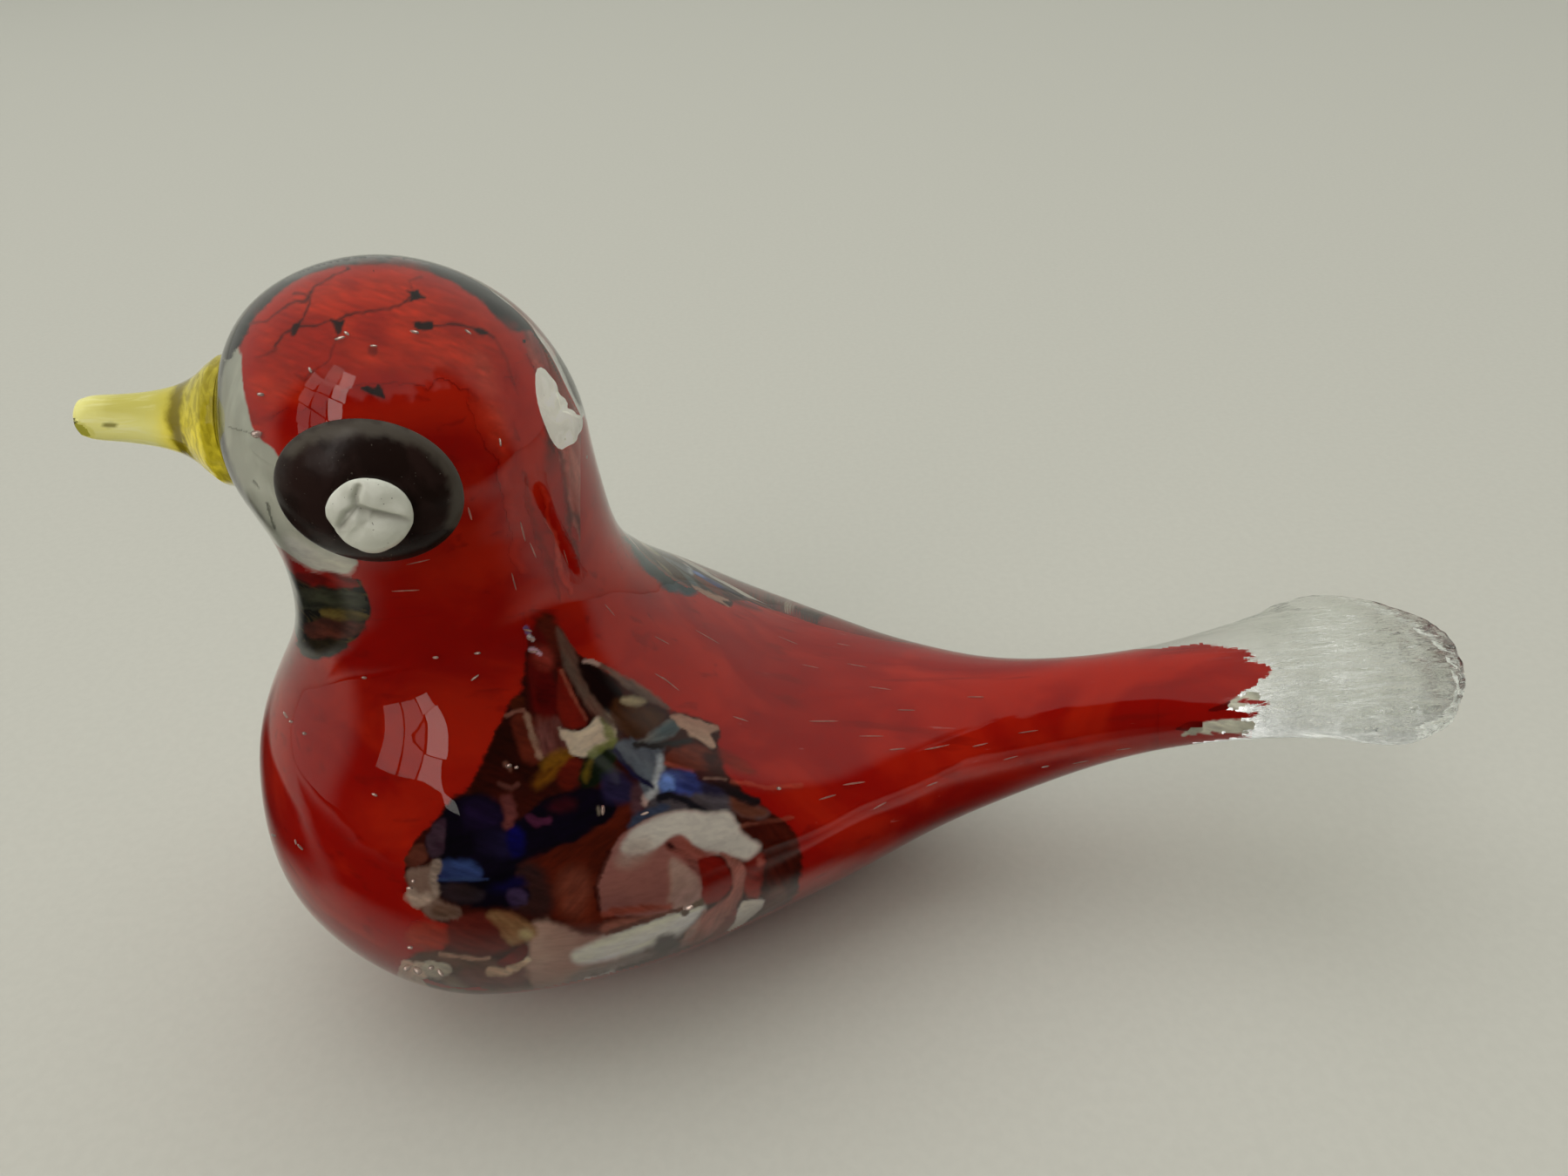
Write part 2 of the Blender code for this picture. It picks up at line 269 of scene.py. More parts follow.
def eased(share: np.ndarray) -> np.ndarray:
    """Makes a share rise smoothly at both its ends."""
    return share * share * (3 - 2 * share)


def edge_distance(points: np.ndarray, start: np.ndarray, end: np.ndarray) -> np.ndarray:
    """The squared distances of points in a plane from the straight line between two places."""
    edge, off = end - start, points - start
    share = np.clip(off @ edge / max(edge @ edge, 1e-12), 0, 1)
    return ((off - share[:, None] * edge) ** 2).sum(axis=1)


def signed_distance(points: np.ndarray, outline: np.ndarray) -> np.ndarray:
    """Measures how far points in a plane are from a closed outline.

    Args:
        points: One row of two for each point.
        outline: The outline's corners in order.

    Returns:
        The distances, negative inside.
    """
    nearest = np.full(len(points), np.inf)
    inside = np.zeros(len(points), bool)
    for start, end in zip(outline, np.roll(outline, -1, axis=0)):
        nearest = np.minimum(nearest, edge_distance(points, start, end))
        if start[1] != end[1]:
            between = (start[1] > points[:, 1]) != (end[1] > points[:, 1])
            reach = start[0] + (points[:, 1] - start[1]) * (end[0] - start[0]) / (end[1] - start[1])
            inside ^= between & (points[:, 0] < reach)
    return np.sqrt(nearest) * np.where(inside, -1, 1)


def line_distance(points: np.ndarray, line: np.ndarray) -> np.ndarray:
    """The distances of points in a plane from an open line."""
    nearest = np.full(len(points), np.inf)
    for start, end in zip(line, line[1:]):
        nearest = np.minimum(nearest, edge_distance(points, start, end))
    return np.sqrt(nearest)


def rounded(outline: np.ndarray, passes: int = 2) -> np.ndarray:
    """Cuts the corners of a closed outline so that it runs round like melted glass."""
    for _ in range(passes):
        following = np.roll(outline, -1, axis=0)
        outline = np.stack([0.75 * outline + 0.25 * following, 0.25 * outline + 0.75 * following], axis=1)
        outline = outline.reshape(-1, 2)
    return outline


class Drift:
    """Smooth seeded noise in a plane, from -1 to 1."""

    SIZE = 101

    def __init__(self, seed: int) -> None:
        """Draws the noise's own grid from its seed."""
        self.grid = np.random.default_rng(seed).uniform(-1, 1, (self.SIZE, self.SIZE))

    def at(self, x: np.ndarray, y: np.ndarray) -> np.ndarray:
        """The noise at places whose grain is one unit long."""
        column, row = np.floor(x).astype(int), np.floor(y).astype(int)
        across, up = x - column, y - row
        across, up = eased(across), eased(up)
        column, row = column % self.SIZE, row % self.SIZE
        after, above = (column + 1) % self.SIZE, (row + 1) % self.SIZE
        low = self.grid[row, column] * (1 - across) + self.grid[row, after] * across
        high = self.grid[above, column] * (1 - across) + self.grid[above, after] * across
        return low * (1 - up) + high * up

    def layered(self, x: np.ndarray, y: np.ndarray) -> np.ndarray:
        """Three layers of the noise, each half as coarse as the one before."""
        total = self.at(x, y) + 0.5 * self.at(2 * x + 17.3, 2 * y + 5.1)
        return (total + 0.25 * self.at(4 * x + 41.7, 4 * y + 23.9)) / 1.3


# The camera, and the way of its rays through the clear glass


@dataclass(frozen=True)
class Viewpoint:
    """The photograph's camera."""

    place: Vector = Vector((-0.003225, -0.093282, 0.098378))
    pitch: float = 33.13  # degrees below level
    roll: float = 2.51
    focal: float = 1300.0  # in pixels
    width: float = 1800.0
    height: float = 1350.0

    def axes(self) -> tuple[Vector, Vector, Vector]:
        """The directions of the picture's right, its lower edge and its depth."""
        pitch, roll = math.radians(self.pitch), math.radians(self.roll)
        right = Vector((1, 0, 0))
        ahead = Vector((0, math.cos(pitch), -math.sin(pitch)))
        down = ahead.cross(right)
        return (
            right * math.cos(roll) + down * math.sin(roll),
            down * math.cos(roll) - right * math.sin(roll),
            ahead,
        )

    def ray(self, x: float, y: float) -> Vector:
        """The direction in which a pixel of the photograph looks."""
        right, down, ahead = self.axes()
        across, along = (x - self.width / 2) / self.focal, (y - self.height / 2) / self.focal
        return (ahead + right * across + down * along).normalized()

    def project(self, point: Vector) -> Point:
        """The pixel at which a point shows."""
        right, down, ahead = self.axes()
        off = point - self.place
        depth = off.dot(ahead)
        return (
            self.width / 2 + self.focal * off.dot(right) / depth,
            self.height / 2 + self.focal * off.dot(down) / depth,
        )

    def set_up(self) -> None:
        """Makes the scene's camera."""
        right, down, ahead = self.axes()
        data = bpy.data.cameras.new("photo camera")
        data.sensor_width = 36.0
        data.lens = self.focal / self.width * data.sensor_width
        data.clip_start = 0.005
        camera = bpy.data.objects.new("photo camera", data)
        bpy.context.scene.collection.objects.link(camera)
        turned = Matrix((right, -down, -ahead)).transposed().to_4x4()
        camera.matrix_world = Matrix.Translation(self.place) @ turned
        bpy.context.scene.camera = camera


def bent(ray: Vector, normal: Vector, ratio: float) -> Vector | None:
    """The way on of a ray through a glass surface, or None where it is thrown back.

    Args:
        ray: Its direction, one long.
        normal: The surface's normal on the side that the ray comes from.
        ratio: The index that it leaves over the index that it enters.
    """
    facing = -ray.dot(normal)
    left = 1 - ratio**2 * (1 - facing**2)
    if left < 0:
        return None
    return (ray * ratio + normal * (ratio * facing - math.sqrt(left))).normalized()


class Surface:
    """A mesh that rays are traced to, with its smooth normals."""

    def __init__(self, piece: bpy.types.Object) -> None:
        """Reads the piece as it is now."""
        mesh = piece.data
        self.places = [vertex.co.copy() for vertex in mesh.vertices]
        self.normals = [vertex.normal.copy() for vertex in mesh.vertices]
        self.faces = [tuple(face.vertices) for face in mesh.polygons]
        self.tree = BVHTree.FromPolygons(self.places, self.faces)

    def meet(self, start: Vector, ray: Vector) -> tuple[Vector, Vector] | None:
        """Where a ray first meets the surface, and the smooth normal there."""
        place, flat, face, _ = self.tree.ray_cast(start, ray)
        if place is None:
            return None
        corners = self.faces[face]
        shares = poly_3d_calc([self.places[corner] for corner in corners], place)
        normal = sum((self.normals[c] * share for c, share in zip(corners, shares)), Vector())
        return place, normal.normalized() if normal.length > 0 else flat


class Sight:
    """What the camera sees of the coat through the clear casing."""

    TRIES = 60  # the steps in which a pixel off the coat is moved towards one on it

    def __init__(self, view: Viewpoint, casing: bpy.types.Object, coat: bpy.types.Object) -> None:
        """Readies both surfaces.

        Args:
            view: The photograph's camera.
            casing: The clear glass, still without its ripples.
            coat: The coloured coat inside it.
        """
        self.view = view
        self.casing = Surface(casing)
        self.coat = Surface(coat)

    def enter(self, x: float, y: float) -> tuple[Vector, Vector] | None:
        """Where a pixel's ray enters the glass, and its direction inside."""
        ray = self.view.ray(x, y)
        met = self.casing.meet(self.view.place, ray)
        if met is None:
            return None
        return met[0], bent(ray, met[1], 1 / GLASS_INDEX)

    def touch(self, x: float, y: float) -> tuple[Vector, Vector] | None:
        """The coat's point that shows at a pixel, and its normal there."""
        inside = self.enter(x, y)
        if inside is None:
            return None
        start, ray = inside
        return self.coat.meet(start + ray * TRACE_STEP, ray)

    def nearest(self, x: float, y: float, towards: Point) -> Vector:
        """The coat's point that shows at a pixel, or at the first one on the way to another.

        Args:
            x: The pixel's column.
            y: The pixel's row.
            towards: A pixel well inside the coat.
        """
        for step in range(self.TRIES):
            share = step / self.TRIES
            met = self.touch(x + (towards[0] - x) * share, y + (towards[1] - y) * share)
            if met:
                return met[0]
        return self.touch(*towards)[0]

    def within(self, x: float, y: float, depth: float) -> Vector | None:
        """A point in the clear glass behind a pixel.

        Args:
            x: The pixel's column.
            y: The pixel's row.
            depth: The share of the way from the outside to the coat, or to the far wall.
        """
        inside = self.enter(x, y)
        if inside is None:
            return None
        start, ray = inside
        past = start + ray * TRACE_STEP
        met = self.coat.meet(past, ray) or self.casing.meet(past, ray)
        return start.lerp(met[0], depth) if met else None


# Nodes


class Board:
    """Lays out and links the nodes of a material or a group."""

    def __init__(self, tree: bpy.types.NodeTree) -> None:
        """Starts on a node tree."""
        self.tree = tree

    def feed(self, socket: bpy.types.NodeSocket, value: object) -> None:
        """Links another node's output to a socket, or sets the socket's own value."""
        if isinstance(value, bpy.types.NodeSocket):
            self.tree.links.new(value, socket)
        elif value is not None:
            socket.default_value = value

    def fill(self, node: bpy.types.Node, inputs: dict) -> None:
        """Sets or links a node's inputs, by name or place."""
        for key, value in inputs.items():
            self.feed(node.inputs[key], value)

    def add(self, kind: str, inputs: dict | None = None, **settings: object) -> bpy.types.Node:
        """Adds a node.

        Args:
            kind: Its type.
            inputs: Values or links for its inputs, by name or place.
            settings: Its other properties.

        Returns:
            The node.
        """
        node = self.tree.nodes.new(kind)
        for name, value in settings.items():
            setattr(node, name, value)
        self.fill(node, inputs or {})
        return node

    def maths(self, operation: str, first: object, second: object) -> bpy.types.NodeSocket:
        """The result of one sum."""
        node = self.add("ShaderNodeMath", {0: first, 1: second}, operation=operation)
        return node.outputs[0]

    def plus(self, first: object, second: object) -> bpy.types.NodeSocket:
        """Two values together."""
        return self.maths("ADD", first, second)

    def minus(self, first: object, second: object) -> bpy.types.NodeSocket:
        """The first value less the second."""
        return self.maths("SUBTRACT", first, second)

    def times(self, first: object, second: object) -> bpy.types.NodeSocket:
        """One value times another."""
        return self.maths("MULTIPLY", first, second)

    def bump(self, height: object, distance: float, strength: float) -> bpy.types.NodeSocket:
        """The normal of a surface that stands this distance high where the height is 1."""
        inputs = {"Height": height, "Distance": distance, "Strength": strength}
        return self.add("ShaderNodeBump", inputs).outputs[0]

    def ramp(self, value: object, low: float, high: float) -> bpy.types.NodeSocket:
        """A share that rises smoothly from 0 at low to 1 at high."""
        inputs = {"Value": value, "From Min": low, "From Max": high}
        node = self.add("ShaderNodeMapRange", inputs, interpolation_type="SMOOTHSTEP")
        return node.outputs["Result"]

    def mix(
        self, share: object, first: object, second: object, blend: str = "MIX"
    ) -> bpy.types.NodeSocket:
        """One colour over another. A node of colours has its own sockets, with these numbers."""
        node = self.add("ShaderNodeMix", data_type="RGBA", blend_type=blend)
        self.feed(node.inputs[0], share)
        self.feed(node.inputs[6], (*first, 1.0) if isinstance(first, tuple) else first)
        self.feed(node.inputs[7], (*second, 1.0) if isinstance(second, tuple) else second)
        return node.outputs[2]

    def grain(
        self,
        scale: float,
        stretch: tuple[float, float, float] = (1, 1, 1),
        detail: float = 3,
        warp: float = 0,
    ) -> bpy.types.NodeSocket:
        """Noise in the piece's own space.

        Args:
            scale: Its grains in a metre.
            stretch: What each axis is multiplied by first.
            detail: How many finer layers it has.
            warp: How far it is twisted by itself.
        """
        place = self.add("ShaderNodeTexCoord").outputs["Object"]
        mapped = self.add("ShaderNodeMapping", {"Vector": place, "Scale": stretch})
        inputs = {"Vector": mapped.outputs[0], "Scale": scale, "Detail": detail, "Distortion": warp}
        return self.add("ShaderNodeTexNoise", inputs).outputs[0]

    def along(self, axis: str) -> bpy.types.NodeSocket:
        """One coordinate of the piece's own space."""
        place = self.add("ShaderNodeTexCoord").outputs["Object"]
        return self.add("ShaderNodeSeparateXYZ", {0: place}).outputs[axis]


def new_group(
    name: str, inputs: dict[str, float], outputs: dict[str, str]
) -> tuple[Board, dict, dict]:
    """Starts a shader node group.

    Args:
        name: The group's name.
        inputs: Its number inputs with their starting values.
        outputs: Its outputs with their socket types.

    Returns:
        The board to build on, the inputs' sockets and the outputs' sockets.
    """
    tree = bpy.data.node_groups.new(name, "ShaderNodeTree")
    for key, value in inputs.items():
        socket = tree.interface.new_socket(key, in_out="INPUT", socket_type="NodeSocketFloat")
        socket.default_value = value
    for key, kind in outputs.items():
        tree.interface.new_socket(key, in_out="OUTPUT", socket_type=kind)
    given = tree.nodes.new("NodeGroupInput")
    result = tree.nodes.new("NodeGroupOutput")
    taken = {key: given.outputs[key] for key in inputs}
    return Board(tree), taken, {key: result.inputs[key] for key in outputs}


def streak_group() -> bpy.types.NodeTree:
    """Pulled-glass streaks along the bird, as a mask and a height."""
    board, given, result = new_group(
        "pulled streaks",
        {"Fineness": 900.0, "Pull": 0.12, "Low": 0.45, "High": 0.65},
        {"Mask": "NodeSocketFloat", "Height": "NodeSocketFloat"},
    )
    place = board.add("ShaderNodeTexCoord").outputs["Object"]
    stretch = board.add("ShaderNodeCombineXYZ", {0: given["Pull"], 1: 1.0, 2: 1.0}).outputs[0]
    pulled = board.add("ShaderNodeVectorMath", {0: place, 1: stretch}, operation="MULTIPLY").outputs[0]
    inputs = {"Vector": pulled, "Scale": given["Fineness"], "Detail": 4.0, "Distortion": 0.4}
    height = board.add("ShaderNodeTexNoise", inputs).outputs[0]
    spread = {"Value": height, "From Min": given["Low"], "From Max": given["High"]}
    mask = board.add("ShaderNodeMapRange", spread, interpolation_type="SMOOTHSTEP").outputs["Result"]
    board.feed(result["Mask"], mask)
    board.feed(result["Height"], height)
    return board.tree


class Groups:
    """The node groups that more than one finish uses."""

    def __init__(self) -> None:
        """Builds each group once."""
        self.streaks = streak_group()

    def streak(self, board: Board, fineness: float, pull: float, low: float, high: float) -> bpy.types.Node:
        """Places the streaks in a material with their own values."""
        node = board.add("ShaderNodeGroup", node_tree=self.streaks)
        for key, value in {"Fineness": fineness, "Pull": pull, "Low": low, "High": high}.items():
            node.inputs[key].default_value = value
        return node


def new_material(name: str) -> tuple[bpy.types.Material, Board, bpy.types.Node]:
    """Starts a material and gives its board and its shader."""
    material = bpy.data.materials.new(name)
    material.use_nodes = True
    return material, Board(material.node_tree), material.node_tree.nodes["Principled BSDF"]


# Finishes


@dataclass(frozen=True)
class ClearGlass:
    """Clear soda glass, hammered and streaked where the tail was pulled and pressed."""

    tint: Colour = (0.985, 0.992, 0.985)
    edge: Colour = (0.50, 0.52, 0.50)  # painted shade: grey where the glass is seen flat along its surface, for its darker rim
    fan_tint: Colour = (0.935, 0.955, 0.920)
    fan_streak: Colour = (0.76, 0.79, 0.72)
    roughness: float = 0.0
    fan_start: float = 0.037
    fan_full: float = 0.056
    # Grains in a metre: of the streaks, of the hammered fan and of the slow waves all over
    streak_grain: float = 800.0
    hammer_grain: float = 520.0
    wave_grain: float = 95.0
    # How high the streaks and the waves stand against the hammering, and all of it in metres
    streak_height: float = 2.6
    wave_height: float = 0.55
    relief: float = 0.0006

    def make(self, groups: Groups) -> bpy.types.Material:
        """Makes the material."""
        material, board, shader = new_material("clear glass")
        fan = board.ramp(board.along("X"), self.fan_start, self.fan_full)
        facing = board.add("ShaderNodeLayerWeight", {"Blend": 0.5}).outputs["Facing"]
        # Painted shade: the glass turns grey where it is seen flat along its surface, for its darker rim
        body = board.mix(board.ramp(facing, 0.55, 0.88), self.tint, self.edge)
        streaks = groups.streak(board, self.streak_grain, 0.16, 0.50, 0.68)
        pressed = board.mix(streaks.outputs["Mask"], self.fan_tint, self.fan_streak)
        hammered = board.grain(self.hammer_grain, (0.55, 1, 1), 2, 0.6)
        rough = board.plus(board.times(streaks.outputs["Height"], self.streak_height), hammered)
        waves = board.times(board.grain(self.wave_grain, (0.6, 1, 1), 2, 0.3), self.wave_height)
        height = board.plus(board.times(rough, fan), waves)
        board.fill(shader, {
            "Base Color": board.mix(fan, body, pressed),
            "Roughness": self.roughness,
            "IOR": GLASS_INDEX,
            "Metallic": 0.0,
            "Transmission Weight": 1.0,
            "Normal": board.bump(height, self.relief, 0.8),
        })
        return material


@dataclass(frozen=True)
class CoatGlass:
    """The opaque coat: red glass, white round the face, olive at the throat, and chips laid on it."""

    deep: Colour = (0.44, 0.0055, 0.0015)
    bright: Colour = (0.62, 0.020, 0.004)
    dull: Colour = (0.29, 0.006, 0.003)
    white: Colour = (0.72, 0.75, 0.63)
    grey: Colour = (0.56, 0.58, 0.48)
    olive: Colour = (0.012, 0.011, 0.007)
    bronze: Colour = (0.10, 0.070, 0.020)
    pale: Colour = (0.62, 0.30, 0.26)
    vein: Colour = (0.34, 0.30, 0.34)  # what the chips are darkened by in fine streaks
    vein_share: float = 0.16
    dull_share: float = 0.55
    pale_share: float = 0.35
    ragged: float = 0.9  # mm by which the marks' edges waver

    def make(self, groups: Groups) -> bpy.types.Material:
        """Makes the material, which reads the attributes marks and tint."""
        material, board, shader = new_material("coat glass")
        red = self.red(board, groups)
        marks = board.add("ShaderNodeAttribute", attribute_name="marks")
        parts = board.add("ShaderNodeSeparateColor", {0: marks.outputs["Color"]})
        shiver = board.times(board.minus(board.grain(420.0, (1, 1, 1), 3), 0.5), self.ragged)
        face = board.ramp(board.plus(parts.outputs[0], shiver), 0.12, -0.12)
        curd = board.ramp(board.grain(260.0, (1, 1, 0.5), 4, 0.5), 0.4, 0.62)
        milk = board.mix(curd, self.grey, self.white)
        throat = board.ramp(board.plus(parts.outputs[1], shiver), 0.15, -0.15)
        gold = board.ramp(board.grain(700.0, (0.4, 0.5, 1.6), 4, 1.2), 0.55, 0.7)
        shown = board.mix(throat, red, board.mix(gold, self.olive, self.bronze))
        shown = board.mix(face, shown, milk)
        # The laid glass, with the painted shade, highlights and reflection haze that some strokes carry
        tint = board.add("ShaderNodeAttribute", attribute_name="tint")
        vein = groups.streak(board, 2600.0, 0.22, 0.40, 0.66).outputs["Mask"]
        vein = board.times(vein, self.vein_share)
        veined = board.mix(vein, tint.outputs["Color"], self.vein, "MULTIPLY")
        shown = board.mix(tint.outputs["Alpha"], shown, veined)
        board.fill(shader, {"Base Color": shown, "Roughness": 0.55, "Specular IOR Level": 0.0})
        return material

    def red(self, board: Board, groups: Groups) -> bpy.types.NodeSocket:
        """The red glass: cloudy and streaked along the bird, with pale threads on its back."""
        cloud = board.ramp(board.grain(110.0, (0.6, 1, 1), 4, 0.8), 0.38, 0.66)
        shown = board.mix(cloud, self.deep, self.bright)
        dark = groups.streak(board, 620.0, 0.10, 0.58, 0.72).outputs["Mask"]
        shown = board.mix(board.times(dark, self.dull_share), shown, self.dull)
        pale = groups.streak(board, 1500.0, 0.07, 0.70, 0.78).outputs["Mask"]
        tailward = board.ramp(board.along("X"), -0.024, -0.006)
        pale = board.times(board.times(pale, tailward), self.pale_share)
        return board.mix(pale, shown, self.pale)


@dataclass(frozen=True)
class BeakGlass:
    """Translucent yellow-green glass, darker in the crease and the flare."""

    tip: Colour = (0.90, 0.87, 0.31)
    back: Colour = (0.44, 0.39, 0.045)
    foot: Colour = (0.95, 0.80, 0.050)
    crease: Colour = (0.21, 0.165, 0.002)
    light: Colour = (0.98, 0.97, 0.58)
    bubble: Colour = (0.32, 0.30, 0.090)
    painted_glow: float = 0.08  # painted light: the glass glows with this share of its colour
    shine: float = 0.3
    clearness: float = 0.06
    relief: float = 0.0002  # metres

    def make(self, groups: Groups) -> bpy.types.Material:
        """Makes the material.

        It reads the attribute flow: the share from the face to the tip, the share from the beak's
        underside to its back, and the sealed bubble.
        """
        material, board, shader = new_material("yellow-green glass")
        given = board.add("ShaderNodeAttribute", attribute_name="flow").outputs["Color"]
        parts = board.add("ShaderNodeSeparateColor", {0: given})
        wrinkle = board.times(board.minus(board.grain(900.0), 0.5), 0.10)
        flow = board.plus(parts.outputs[0], wrinkle)
        body = board.mix(board.ramp(flow, 0.26, 0.50), self.foot, self.tip)
        upper = board.times(board.ramp(parts.outputs[1], 0.52, 0.95), board.ramp(flow, 1.0, 0.7))
        body = board.mix(board.times(upper, 0.75), body, self.back)
        band = board.times(board.ramp(flow, 0.165, 0.235), board.ramp(flow, 0.360, 0.27))
        body = board.mix(band, body, self.crease)
        olive = board.ramp(board.grain(420.0, (2.6, 0.8, 0.8), 4, 1.6), 0.40, 0.64)
        olive = board.times(board.times(olive, 0.55), board.ramp(flow, 0.30, 0.18))
        body = board.mix(olive, body, self.crease)
        body = board.mix(board.times(board.ramp(flow, 0.035, 0.0), 0.5), body, self.crease)
        streak = groups.streak(board, 1500.0, 0.10, 0.5, 0.7).outputs["Mask"]
        pale = board.times(board.times(streak, 0.45), board.ramp(flow, 0.4, 0.5))
        shown = board.mix(pale, body, self.light)
        shown = board.mix(parts.outputs[2], shown, self.bubble)
        ribs = board.times(board.grain(1100.0, (0.8, 1.0, 1.0), 2, 0.8), board.ramp(flow, 0.42, 0.20))
        board.fill(shader, {
            "Base Color": shown,
            "Emission Color": shown,
            "Emission Strength": self.painted_glow,
            "Specular IOR Level": self.shine,
            "Roughness": 0.06,
            "IOR": GLASS_INDEX,
            "Metallic": 0.0,
            "Transmission Weight": self.clearness,
            "Coat Weight": 0.12,
            "Coat Roughness": 0.02,
            "Normal": board.bump(ribs, self.relief, 0.28),
        })
        return material


@dataclass(frozen=True)
class PressedGlass:
    """Opaque glass, pressed on hot: cloudy between two colours, with fine specks."""

    name: str
    main: Colour
    cloud: Colour
    speck_and_painted_light: Colour
    roughness: float
    grain: float = 300.0
    painted_glow: float = 0.0  # painted light: how strongly it glows with its own cloudy colour
    shine: float = 0.5  # how strongly it mirrors, where 0.5 is bare glass

    def make(self) -> bpy.types.Material:
        """Makes the material."""
        material, board, shader = new_material(self.name)
        cloud = board.ramp(board.grain(self.grain, (1, 1, 1), 4, 0.8), 0.42, 0.62)
        glass = board.mix(cloud, self.main, self.cloud)
        specks = board.ramp(board.grain(3800.0, (1, 1, 1), 1), 0.74, 0.78)
        shown = board.mix(specks, glass, self.speck_and_painted_light)
        # Painted light read from the piece, in the speck colour: shade in the eye dot's dent and a paler
        # reflection band on the eye disc
        painted_shade_and_reflection = board.add("ShaderNodeAttribute", attribute_name="painted_shade_and_reflection").outputs["Fac"]
        board.fill(shader, {
            "Base Color": board.mix(painted_shade_and_reflection, shown, self.speck_and_painted_light),
            "Emission Color": glass,
            "Emission Strength": self.painted_glow,
            "Roughness": self.roughness,
            "IOR": GLASS_INDEX,
            "Specular IOR Level": self.shine,
            "Normal": board.bump(board.grain(700.0, (1, 1, 1), 2), 0.0001, 0.35),
        })
        return material


@dataclass(frozen=True)
class SeedGlass:
    """The silvery wall of a bubble, or an opaque fleck."""

    name: str
    colour: Colour
    metallic: float
    roughness: float = 0.22
    painted_glow: float = 0.0  # painted light: how strongly it glows, as a share of its colour

    def make(self) -> bpy.types.Material:
        """Makes the material."""
        material, board, shader = new_material(self.name)
        shade_share = board.ramp(board.grain(1800.0), 0.4, 0.6)
        darker = tuple(value * 0.7 for value in self.colour)
        shown = board.mix(shade_share, darker, self.colour)
        board.fill(shader, {
            "Base Color": shown,
            "Emission Color": shown,
            "Emission Strength": self.painted_glow,
            "Metallic": self.metallic,
            "Roughness": self.roughness,
        })
        return material


@dataclass(frozen=True)
class PaperFloor:
    """The pale sheet that the bird stands on."""

    colour: Colour = (0.545, 0.545, 0.49)

    def make(self) -> bpy.types.Material:
        """Makes the material."""
        material, board, shader = new_material("pale paper")
        fibre = board.ramp(board.grain(900.0, (1, 1, 1), 5), 0.3, 0.7)
        shown = board.mix(fibre, self.colour, tuple(value * 1.03 for value in self.colour))
        board.fill(shader, {"Base Color": shown, "Roughness": 0.85, "Specular IOR Level": 0.15})
        return material


@dataclass(frozen=True)
class MirroredFloor:
    """What the glass mirrors of the floor: pale behind the bird and far off, dim in front of it."""

    pale: Colour = (0.545, 0.545, 0.49)
    dim: Colour = (0.02, 0.02, 0.02)
    # Painted shadows in the mirrored floor, as dim spots: x, y and radius
    spots: tuple[tuple[float, float, float], ...] = ((-0.125, 0.0, 0.055), (0.020, -0.022, 0.022))

    def make(self) -> bpy.types.Material:
        """Makes the material."""
        material, board, shader = new_material("mirrored floor")
        wobble = board.times(board.minus(board.grain(22.0), 0.5), 0.02)
        x, y = board.along("X"), board.plus(board.along("Y"), wobble)
        left = board.times(board.ramp(x, -0.20, -0.70), board.ramp(y, -0.55, -0.05))
        right = board.times(board.ramp(x, 0.02, 0.12), board.ramp(y, -0.20, -0.05))
        pale = board.maths("MAXIMUM", board.ramp(y, -0.066, -0.030), board.maths("MAXIMUM", left, right))
        for spot_x, spot_y, radius in self.spots:
            off_x, off_y = board.minus(x, spot_x), board.minus(y, spot_y)
            away = board.plus(board.times(off_x, off_x), board.times(off_y, off_y))
            pale = board.times(pale, board.ramp(away, (0.5 * radius) ** 2, radius**2))
        shown = board.mix(pale, self.dim, self.pale)
        board.fill(shader, {"Base Color": shown, "Roughness": 0.9, "Specular IOR Level": 0.0})
        return material


# The glass body


@dataclass
class Casing:
    """The clear outside of the bird: the CAD body made smooth, with a pressed and rippled fan."""

    levels: int = 2
    fan_start: float = 0.040
    fan_full: float = 0.058
    ripple: float = 0.00022
    lip: float = 0.00030

    def build(self) -> bpy.types.Object:
        """Builds the smooth skin, without its ripples."""
        skin = node_copy("glass_body", "clear_casing")
        smooth(skin, self.levels)
        places = corners_of(skin)
        places[:, 2] = np.where(places[:, 2] < 0.00025, 0.0, places[:, 2])
        set_corners(skin, places)
        shade(skin)
        return skin

    def hammer(self, skin: bpy.types.Object) -> None:
        """Presses the ripples and the thin middle into the fan."""
        places = corners_of(skin)
        normals = np.array([vertex.normal[:] for vertex in skin.data.vertices])
        share = np.clip((places[:, 0] - self.fan_start) / (self.fan_full - self.fan_start), 0, 1)
        share = eased(share)
        for index in np.nonzero(share > 0)[0]:
            x, y, z = places[index] / MM
            pulled = noise.noise(Vector((x * 0.12, y * 0.9, z * 0.25)))
            beaten = noise.noise(Vector((x * 0.45 + 40, y * 0.55, z * 0.3)))
            groove = math.exp(-(((abs(normals[index][2]) - 0.84) / 0.07) ** 2))
            push = self.ripple * (pulled + 0.8 * beaten) - self.lip * groove
            places[index] += normals[index] * share[index] * push
        set_corners(skin, places)

    def dress(self, skin: bpy.types.Object, groups: Groups) -> None:
        """Gives the skin its finish."""
        skin.data.materials.append(ClearGlass().make(groups))
        keep(skin, "glass_body", "glass_body")


@dataclass(frozen=True)
class Ring:
    """One oval section of the coat in mm: its back and its front point, half its width, its shift."""

    back: Point
    front: Point
    half_width: float
    shift: float = 0.0  # across the bird, towards its right


